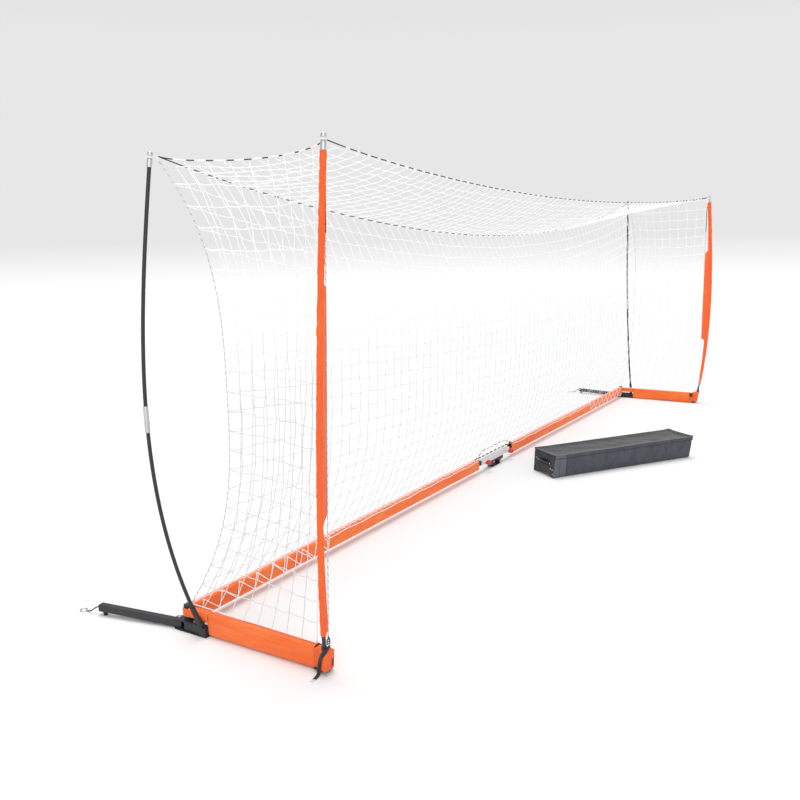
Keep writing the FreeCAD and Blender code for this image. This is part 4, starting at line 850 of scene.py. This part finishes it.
def boxedRow(spotAt, half, low, high, bulge):  # rounded box section of cloth, seen along its length
    corner, outline = sleeveSizes["corner"], []
    wide, tall = half - corner, high - low - 2 * corner
    corners = ((wide, low + corner, 1, 0), (wide, high - corner, 0, 1),
               (-wide, high - corner, -1, 0), (-wide, low + corner, 0, -1))
    for k, (x, z, outX, outZ) in enumerate(corners):
        for i in range(4):
            a = math.radians(90 * k - 90 + 30 * i)
            outline.append((x + corner * math.cos(a), z + corner * math.sin(a)))
        part = ("side", "top", "side", "foot")[k]
        for i in range(1, 5):
            t = i / 5
            far = corner + bulge(part, 1 - t if k == 2 else t)
            run = t * (tall if part == "side" else 2 * wide)
            outline.append((x + outX * far - outZ * run, z + outZ * far + outX * run))
    return [spotAt(x, z) for x, z in outline]


def makeSideSleeve(word, side):
    rail, band, store = sleeveSizes["rail"], sleeveSizes["band"], newStore()

    def tubeOf(start, end, low, count):
        def rowAt(s):
            y = start + (end - start) * s

            def bulge(part, t):
                puff = abs(crease(Vector((y, t * 0.08, side * 3.0)), 0.055, 0.004)) + 0.0008
                slant = t + 1.35 * (y + 0.5)
                ridge = max(0.0, math.sin(slant * 7.0)) ** 6 + 0.6 * max(0.0, math.sin(slant * 11.0 + 1)) ** 8
                return (puff + 0.0058 * ridge) * math.sin(math.pi * t) * (0.9 if part == "side" else 0.35)
            return boxedRow(lambda x, z: Vector((side * (rail["x"] + x), y, z)),
                            rail["half"], low, rail["high"], bulge)
        addGrid(store, sampled(rowAt, count), True)
    tubeOf(rail["front"], rail["rear"], rail["low"], 60)
    tubeOf(rail["rear"] + 0.002, band["rear"], band["low"], 16)
    wrap = softened([Vector((x, y, 0)) for x, y in band["wrap"]], 0.006, 5)

    def levelAt(t):
        z = band["low"] + (rail["high"] - band["low"]) * t
        return [Vector((side * (rail["x"] + p.x), p.y, z)) for p in wrap]
    addGrid(store, sampled(levelAt, 8))
    sleeve = makePiece("sideSleeve_" + word, store, "orangeDull",
                       ["side_sleeve_" + word], thick=sleeveSizes["railThick"])


def makeBarSleeve(word, side):
    bar, store = sleeveSizes["bar"], newStore()

    def rowAt(s):
        x = bar["start"] + (bar["end"] - bar["start"]) * s
        lace = (x - laceSizes["start"]) / laceSizes["step"] % 1.0
        pinch = math.exp(-((lace - 0.08) / 0.09) ** 2)

        def bulge(part, t):
            puff = abs(crease(Vector((x, t * 0.1, side * 5.0)), 0.07, 0.0035)) + 0.0006
            share = {"foot": 1.4, "side": 0.25 * (1 - 0.9 * pinch), "top": 0.6 * (1 - 0.9 * pinch)}[part]
            return puff * share * math.sin(math.pi * t)
        low = bar["low"] + crease(Vector((x, 0, 0)), 0.25, 0.002)
        return boxedRow(lambda y, z: Vector((side * x, y, z)), bar["half"], low, bar["high"], bulge)
    addGrid(store, sampled(rowAt, 190), True)
    sleeve = makePiece("barSleeve_" + word, store, "orangeDull",
                       ["back_bar_sleeve_" + word], thick=sleeveSizes["railThick"])
    bar["end"] - bar["start"]


for word, side in sides:
    makePoleSleeve(word, side)
    makeSideSleeve(word, side)
    makeBarSleeve(word, side)


coverSizes = {  # low and high: z, front, inner, outer
    "low": (0.018, -0.9365, 3.6175, 3.6920), "high": (0.112, -0.9480, 3.6250, 3.7040),
    "rear": -0.8560, "rearOuter": 3.6636, "middle": (3.650, -0.89), "hole": 0.0150, "neck": 0.134,
    "samples": 40, "rows": 12, "loop": (3.640, -0.9405, 0.056),
}


def coverRing(t):  # the cover's outline at one height, with even points
    z, front, inner, outer = (a + (b - a) * t for a, b in zip(coverSizes["low"], coverSizes["high"]))
    rear = coverSizes["rear"]
    spots = ((inner, rear), (inner, front), (outer, front), (coverSizes["rearOuter"], rear))
    line, dense = softened([Vector((x, y, z)) for x, y in spots], 0.009, 4), []
    for a, b in zip(line, line[1:]):
        pieces = max(1, round((b - a).length / 0.008))
        dense.extend(a.lerp(b, k / pieces) for k in range(pieces))
    dense.append(line[-1])
    whole, (x, y), row = lengthOf(dense), coverSizes["middle"], []
    for k in range(coverSizes["samples"] + 1):
        p = along(dense, whole * k / coverSizes["samples"] * 0.99999)
        puff = abs(crease(p, 0.04, 0.003)) * math.sin(math.pi * t) ** 0.5
        row.append(p + Vector((p.x - x, p.y - y, 0)).normalized() * puff)
    return row


def makeCover(word, side):
    store, rows = newStore(), []
    for row in sampled(coverRing, coverSizes["rows"]):
        rows.append([mirrored(side, p) for p in row])
    addGrid(store, rows)
    point, heading = rodCurve("front", side, coverSizes["neck"])
    outer, tops = rows[-1] + [rows[-1][-1].lerp(rows[-1][0], k / 8) for k in range(1, 8)], []
    for t in (0, 0.2, 0.4, 0.6, 0.8, 1):
        loop = []
        for p in outer:
            way = Vector((p.x - point.x, p.y - point.y, 0)).normalized()
            rim = point + squareTo(heading, way) * coverSizes["hole"]
            loop.append(p.lerp(rim, t) + up * (0.003 * math.sin(math.pi * t)))
        tops.append(loop)
    addGrid(store, tops, True)
    cover = makePiece("frontCover_" + word, store, "orange",
                      ["front_covers"] if side > 0 else (), weld=0.0002, thick=sleeveSizes["railThick"])
    x, y, z = coverSizes["loop"]
    bow = sampled(lambda t: Vector((side * x, y - 0.006 * math.sin(math.pi * t), z + 0.05 * (0.5 - t))), 8)
    store = newStore()
    addRibbon(store, bow, [Vector((0, -1, 0))] * 9, 0.010, 0.0014)
    makePiece("coverLoop_" + word, store, "redWebbing")


for word, side in sides:
    makeCover(word, side)
print("sleeves and covers made")


# webbing at the front feet

strapRoute = [((3.666, -0.9525, 0.149), (0, -1, 0)), ((3.700, -0.955, 0.136), (0.5, -0.87, 0)),
              ((3.7055, -0.939, 0.118), (1, -0.3, 0)), ((3.702, -0.921, 0.097), (1, 0.3, 0)),
              ((3.691, -0.909, 0.072), (1, -0.1, 0.2)), ((3.6885, -0.899, 0.031), (1, -0.1, 0.2)),
              ((3.693, -0.901, 0.005), (0.6, 0, 0.8)), ((3.717, -0.905, 0.0014), (0, 0, 1)),
              ((3.757, -0.911, 0.0014), (0, 0, 1))]
strapSizes = {"wide": 0.020, "thick": 0.0015, "lowest": 0.0011, "tipWide": 0.0206, "tipThick": 0.0021}


def quartered(spots, side):  # three more between each two, on this side
    spots = [mirrored(side, spot) for spot in spots]
    line = [a.lerp(b, t) for a, b in zip(spots, spots[1:]) for t in (0, 0.25, 0.5, 0.75)]
    return line + [spots[-1]]


for word, side in sides:
    line = quartered([spot for spot, normal in strapRoute], side)
    sways = quartered([normal for spot, normal in strapRoute], side)
    for k in range(3):
        line = [line[0]] + [(a + b * 2 + c) / 4 for a, b, c in zip(line, line[1:], line[2:])] + [line[-1]]
    line = [Vector((p.x, p.y, max(p.z, strapSizes["lowest"]))) for p in line]
    store = newStore()
    addRibbon(store, line, sways, strapSizes["wide"], strapSizes["thick"])
    makePiece("strap_" + word, store, "webbing", ["front_strap_" + word])
    store, tip = newStore(), line[-3:-1] + [line[-1] + (line[-1] - line[-2]) * 0.2]
    addRibbon(store, tip, [up] * 3, strapSizes["tipWide"], strapSizes["tipThick"])
    makePiece("strapTip_" + word, store, "paleWebbing")


# tape on the bracket under the middle of the back bar

tape = newStore()
bow = sampled(lambda t: Vector((-0.138 + 0.276 * t, -0.0262, 0.0565 + 0.0012 * math.sin(t * 31.2))), 24)
addRibbon(tape, bow, [Vector((0, -1, 0))] * 25, 0.009, 0.0014)
makePiece("bracketTape", tape, "redWebbing")


# lock knobs on the middle of the back bar

knobSizes = {"middle": 0.065, "ball": 0.023, "neck": 0.0078, "seam": 0.00025, "spot": (0.230, 0, 0.085),
             "pin": ((0.0, 0.011), (0.0032, 0.0112), (0.004, 0.0124), (0.004, 0.0365),
                     (0.0068, 0.0368), (0.0072, 0.039))}


def makeKnob(word, side):
    store, size = newStore(), knobSizes
    profile = list(size["pin"])
    low = -math.acos(size["neck"] / size["ball"])
    for k in range(25):
        a = low + (math.pi / 2 - low) * k / 24
        r = size["ball"] + (size["seam"] if k in (11, 12) else 0)
        profile.append((r * math.cos(a), size["middle"] + r * math.sin(a)))
    place = facing(mirrored(side, size["spot"]), Vector((0, -1, 0)))
    addLathe(store, profile, place, 40)
    makePiece("lockKnob_" + word, store, "red", ["lock_knob_" + word],
              word + "_knob", weld=0.00002)


for word, side in sides:
    makeKnob(word, side)


# carry bag, laid out in its own frame: x along it with the wheels at the low end, y across

bagSizes = {
    "tubHigh": 0.174, "tubNear": -0.688, "tubFar": 0.732, "tubHalf": 0.147, "tubCorner": 0.012, "lean": 0.014,
    "wall": 0.0015, "under": 0.0018, "step": 0.02,
    "lidNear": -0.733, "lidFar": 0.750, "lidHalf": 0.165, "lidCorner": 0.010,
    "levels": (0.172, 0.165, 0.15, 0.13, 0.11, 0.09, 0.07, 0.05, 0.032, 0.016, 0.007, 0.003, 0.0018),
    "lidLevels": ((0, 0.1645), (0, 0.171), (0, 0.178), (0, 0.185), (0, 0.191),
                  (0.0012, 0.1955), (0.004, 0.1982)),
    "wheelSpot": (-0.723, 0.1305, 0.0235), "wheelHalf": 0.0117, "piping": 0.0026,
    "lines": (("bagLidPiping", "bagPiping", 0.1975, 0.0005), ("bagLidHem", "bagHem", 0.1660, 0.0012)),
}


def bagPoint(x, y, z):
    return bagSpot + bagAlong * x + bagAcross * y + up * z


def bagLoop(name, inset):  # rounded rectangle, as even points
    near, far = bagSizes[name + "Near"] + inset, bagSizes[name + "Far"] - inset
    corner, points, dense = bagSizes[name + "Corner"], [], []
    side = bagSizes[name + "Half"] - inset - corner
    for x, y, start in ((far - corner, side, 0), (near + corner, side, 90),
                        (near + corner, -side, 180), (far - corner, -side, 270)):
        for k in range(6):
            a = math.radians(start + 18 * k)
            points.append((x + corner * math.cos(a), y + corner * math.sin(a)))
    for (ax, ay), (bx, by) in zip(points, points[1:] + points[:1]):
        pieces = max(1, round(math.hypot(bx - ax, by - ay) / bagSizes["step"]))
        dense.extend((ax + (bx - ax) * k / pieces, ay + (by - ay) * k / pieces) for k in range(pieces))
    return dense


def makeBagTub():
    store, rows, size = newStore(), [], bagSizes
    plan = bagLoop("tub", size["wall"])
    for z in size["levels"]:
        t, row = z / size["tubHigh"], []
        lean, swell = size["lean"] * t, math.sin(math.pi * min(1.0, t))
        tuck = 0.006 if z < 0.004 else 0.0025 if z < 0.008 else 0
        for x, y in plan:
            far = max(0.0, min(1.0, (x + 0.6) / 1.2))
            px = x + (lean if x > size["tubFar"] - 0.03 else 0)
            py = y + math.copysign(lean, y) * min(1.0, abs(y) / 0.12)
            belly = swell * 0.004 * min(1.0, abs(y) / 0.13)
            fold = crease(Vector((x * 1.2 + far, y, z * 2.4)), 0.16, 0.007) * swell
            py += math.copysign(belly + fold, y) if abs(y) > 0.12 else 0
            py -= math.copysign(tuck, y) * min(1, abs(y) / 0.12)
            row.append(bagPoint(px - math.copysign(tuck, x), py, z))
        rows.append(row)
    last = rows[-1]
    for s in (0.15, 0.4, 0.7, 1.0):
        rows.append([p.lerp(bagPoint(max(-0.54, min(0.58, x)), 0, size["under"]), s)
                     for p, (x, y) in zip(last, plan)])
    addGrid(store, rows, True)
    tub = makePiece("bagTub", store, "bagSide", ["bag_tub"], "bag", weld=0.0004, thick=0.0024)


def cornerPull(x, y):  # the lid's stiffened corners stand out and up a little
    near = min(math.hypot(x - ex, y - ey) for ex in (bagSizes["lidNear"], bagSizes["lidFar"])
               for ey in (-bagSizes["lidHalf"], bagSizes["lidHalf"]))
    out = bagAlong * math.copysign(1, x) + bagAcross * math.copysign(1, y)
    return (out * 0.0035 + up * 0.004) * math.exp(-(near / 0.045) ** 2)


def makeBagLid():
    store, rows, plan = newStore(), [], bagLoop("lid", bagSizes["wall"])
    for inset, z in bagSizes["lidLevels"]:
        row = []
        for x, y in plan:
            skirt = crease(Vector((x * 1.3, y, z)), 0.12, 0.003) if z < 0.185 else 0
            point = bagPoint(x - math.copysign(inset, x) * min(1, abs(x) / 0.7),
                             y - math.copysign(inset - skirt * 0.6, y) * min(1, abs(y) / 0.16), z)
            row.append(point + cornerPull(x, y) * max(0.0, (z - 0.17) / 0.03))
        rows.append(row)
    for s in (0.035, 0.07, 0.11, 0.16, 0.22, 0.3, 0.42, 0.58, 0.76, 0.9, 1.0):
        row, sag = [], 0.015 * math.sin(math.pi / 2 * min(1, s * 2))
        for x, y in plan:
            px, py = x + (max(-0.60, min(0.62, x)) - x) * s, y - y * s
            dip = sag * (0.8 + 0.5 * noise.noise(Vector((px * 3, 0, 7))))
            slant = crease(Vector((px * 2.6 + py * 1.7, py * 2.2 - px, 3)), 0.3, 0.006) * min(1, s * 3)
            row.append(bagPoint(px, py, 0.1985 - dip + slant * 0.8) + cornerPull(x, y) * max(0, 1 - s * 6))
        rows.append(row)
    addGrid(store, rows, True)
    lid = makePiece("bagLid", store, "bagLid", ["bag_lid"], "bag_lid", weld=0.0004, thick=0.002)
    for name, finish, z, out in bagSizes["lines"]:
        piping = newStore()
        plan = bagLoop("lid", bagSizes["wall"] - out)
        points = [bagPoint(x, y, z) + cornerPull(x, y) * (z > 0.18) for x, y in plan]
        addTube(piping, points + points[:1], bagSizes["piping"], ends=False)
        makePiece(name, piping, finish, body="bag_lid")


def makeBagWheels():
    wide, (x, y, z) = bagSizes["wheelHalf"], bagSizes["wheelSpot"]
    shapes = (("bagTyre_", "rubber", 48, ((0.0158, 1), (0.0205, 1), (0.0227, 0.72), (0.0230, 0.3),
                                          (0.0222, 0.26), (0.0222, 0.14), (0.0230, 0.1))),
              ("bagHub_", "hubPlastic", 40, ((0.0036, 1), (0.008, 1), (0.009, 0.6),
                                             (0.0138, 0.55), (0.0160, 0.9))))
    for word, side in sides:
        for name, finish, count, half in shapes:
            store, profile = newStore(), turnedProfile([(r, wide * t) for r, t in half], 0.0006, both=True)
            addLathe(store, profile, facing(bagPoint(x, side * y, z), bagAcross), count)
            replaced = ["bag_wheel_" + word] if name == "bagTyre_" else ()
            makePiece(name + word, store, finish, replaced, "bag_wheel_" + word)


handleSizes = {
    "wall": -0.75, "foot": 0.020, "rise": 0.154, "lean": 0.017,  # the bag's end wall, which leans
    "level": 0.115, "wide": 0.020, "thick": 0.0038,
    "route": ((-0.097, 0.0022), (-0.077, 0.0022), (-0.063, 0.0130),
              (0.063, 0.0130), (0.077, 0.0022), (0.097, 0.0022)),
    "rivet": ((0.0046, 0.0), (0.0046, 0.0008), (0.003, 0.0022), (0.0, 0.0026)),
    "rivets": ((-0.088, 0.115), (0.088, 0.115), (-0.104, 0.074),
               (-0.131, 0.070), (-0.139, 0.034), (0.128, 0.122)),
}


def onEndWall(y, z):
    size = handleSizes
    return bagPoint(size["wall"] + size["lean"] * (z - size["foot"]) / size["rise"], y, z)


def makeBagHandle():
    size = handleSizes
    out = (up * size["lean"] - bagAlong * size["rise"]).normalized()
    route = softened([Vector((y, far, 0)) for y, far in size["route"]], 0.012, 5)
    spots = [onEndWall(p.x, size["level"]) + out * p.y for p in route]
    store = newStore()
    addRibbon(store, spots, [out] * len(spots), size["wide"], size["thick"])
    makePiece("bagHandle", store, "webbing", ["bag_handle"], "bag")
    store, dome = newStore(), turnedProfile(size["rivet"], 0.0006)
    for y, z in size["rivets"]:
        lift = 0.0042 if z == size["level"] else 0.0002
        addLathe(store, dome, facing(onEndWall(y, z) + out * lift, out), 20)
    makePiece("bagRivets", store, "paleTube", body="bag", weld=0.00002)


makeBagTub()
makeBagLid()
makeBagWheels()
makeBagHandle()
print("bag made")


# finishes of the parts that keep their own shape

dressed = {  # a name with _ at its end stands for the left and the right one
    "steel": ("lower_rail_", "upper_rail_", "back_bar_", "rear_leg_", "centre_foot"),
    "hub": ("hub_frame_", "rear_socket_", "front_socket_"), "rubber": ("leg_end_cap_", "front_feet"),
    "bolt": ("hub_bolts",), "zinc": ("bag_axle",), "plastic": ("strap_buckles",),
    "bagSide": ("bag_wheel_housing",), "paleTube": ("centre_connector",),
}
for finish, names in dressed.items():
    for name in names:
        for word in ("left", "right") if name.endswith("_") else ("",):
            for holder in nodes[name + word].material_slots:
                holder.material = finishes[finish].material


# floor, light and sky

lightSizes = {
    "floor": 42, "skyLow": -0.041, "skyHigh": 0.8,
    "sky": ((0.0, 1.0), (0.05, 0.8), (0.3, 0.8), (0.75, 0.55), (1.0, 0.5)),
    "suns": {"key": {"power": 1.9, "angle": 34, "from": (0.16, 0.10, 1.0)},
             "fill": {"power": 1.1, "angle": 70, "from": (-0.8, -0.6, 0.5)}},
}


def setLight():  # white at the floor's rim, light grey above it, darker overhead
    bpy.context.scene.world = bpy.data.worlds.new("studio")
    sky = Finish("sky", {}, bpy.context.scene.world)
    height = sky.dot(sky.place("Generated"), up)
    share = sky.node("ShaderNodeMapRange", {}, {"Value": height, "From Min": lightSizes["skyLow"],
                                                "From Max": lightSizes["skyHigh"]})
    stops = [(place, (grey, grey, grey)) for place, grey in lightSizes["sky"]]
    sky.put("Color", sky.node("ShaderNodeValToRGB", {"stops": stops}, {"Fac": share}))
    for name, size in lightSizes["suns"].items():
        data = bpy.data.lights.new(name, "SUN")
        data.energy, data.angle = size["power"], math.radians(size["angle"])
        sun = bpy.data.objects.new(name, data)
        sun.rotation_mode = "QUATERNION"
        sun.rotation_quaternion = Vector(size["from"]).to_track_quat("Z", "Y")
        bpy.context.scene.collection.objects.link(sun)
    bpy.context.scene.view_settings.view_transform = "Standard"


def makeFloor():
    f = Finish("paleFloor", {"Roughness": 0.95, "Specular IOR Level": 0.0})
    soft = f.noise(f.place("Object"), 0.6)
    f.put("Base Color", f.mix(soft, (0.81, 0.81, 0.81), (0.84, 0.84, 0.84)))
    mesh = bpy.data.meshes.new("floor")
    rim = ringAt(Vector((0, 0, 0)), Vector((1, 0, 0)), Vector((0, 1, 0)), lightSizes["floor"], 96)
    mesh.from_pydata(rim, [], [range(len(rim))])
    floor = bpy.data.objects.new("floor", mesh)
    mesh.materials.append(f.material)
    bpy.context.scene.collection.objects.link(floor)


setLight()
makeFloor()
print("stage set")
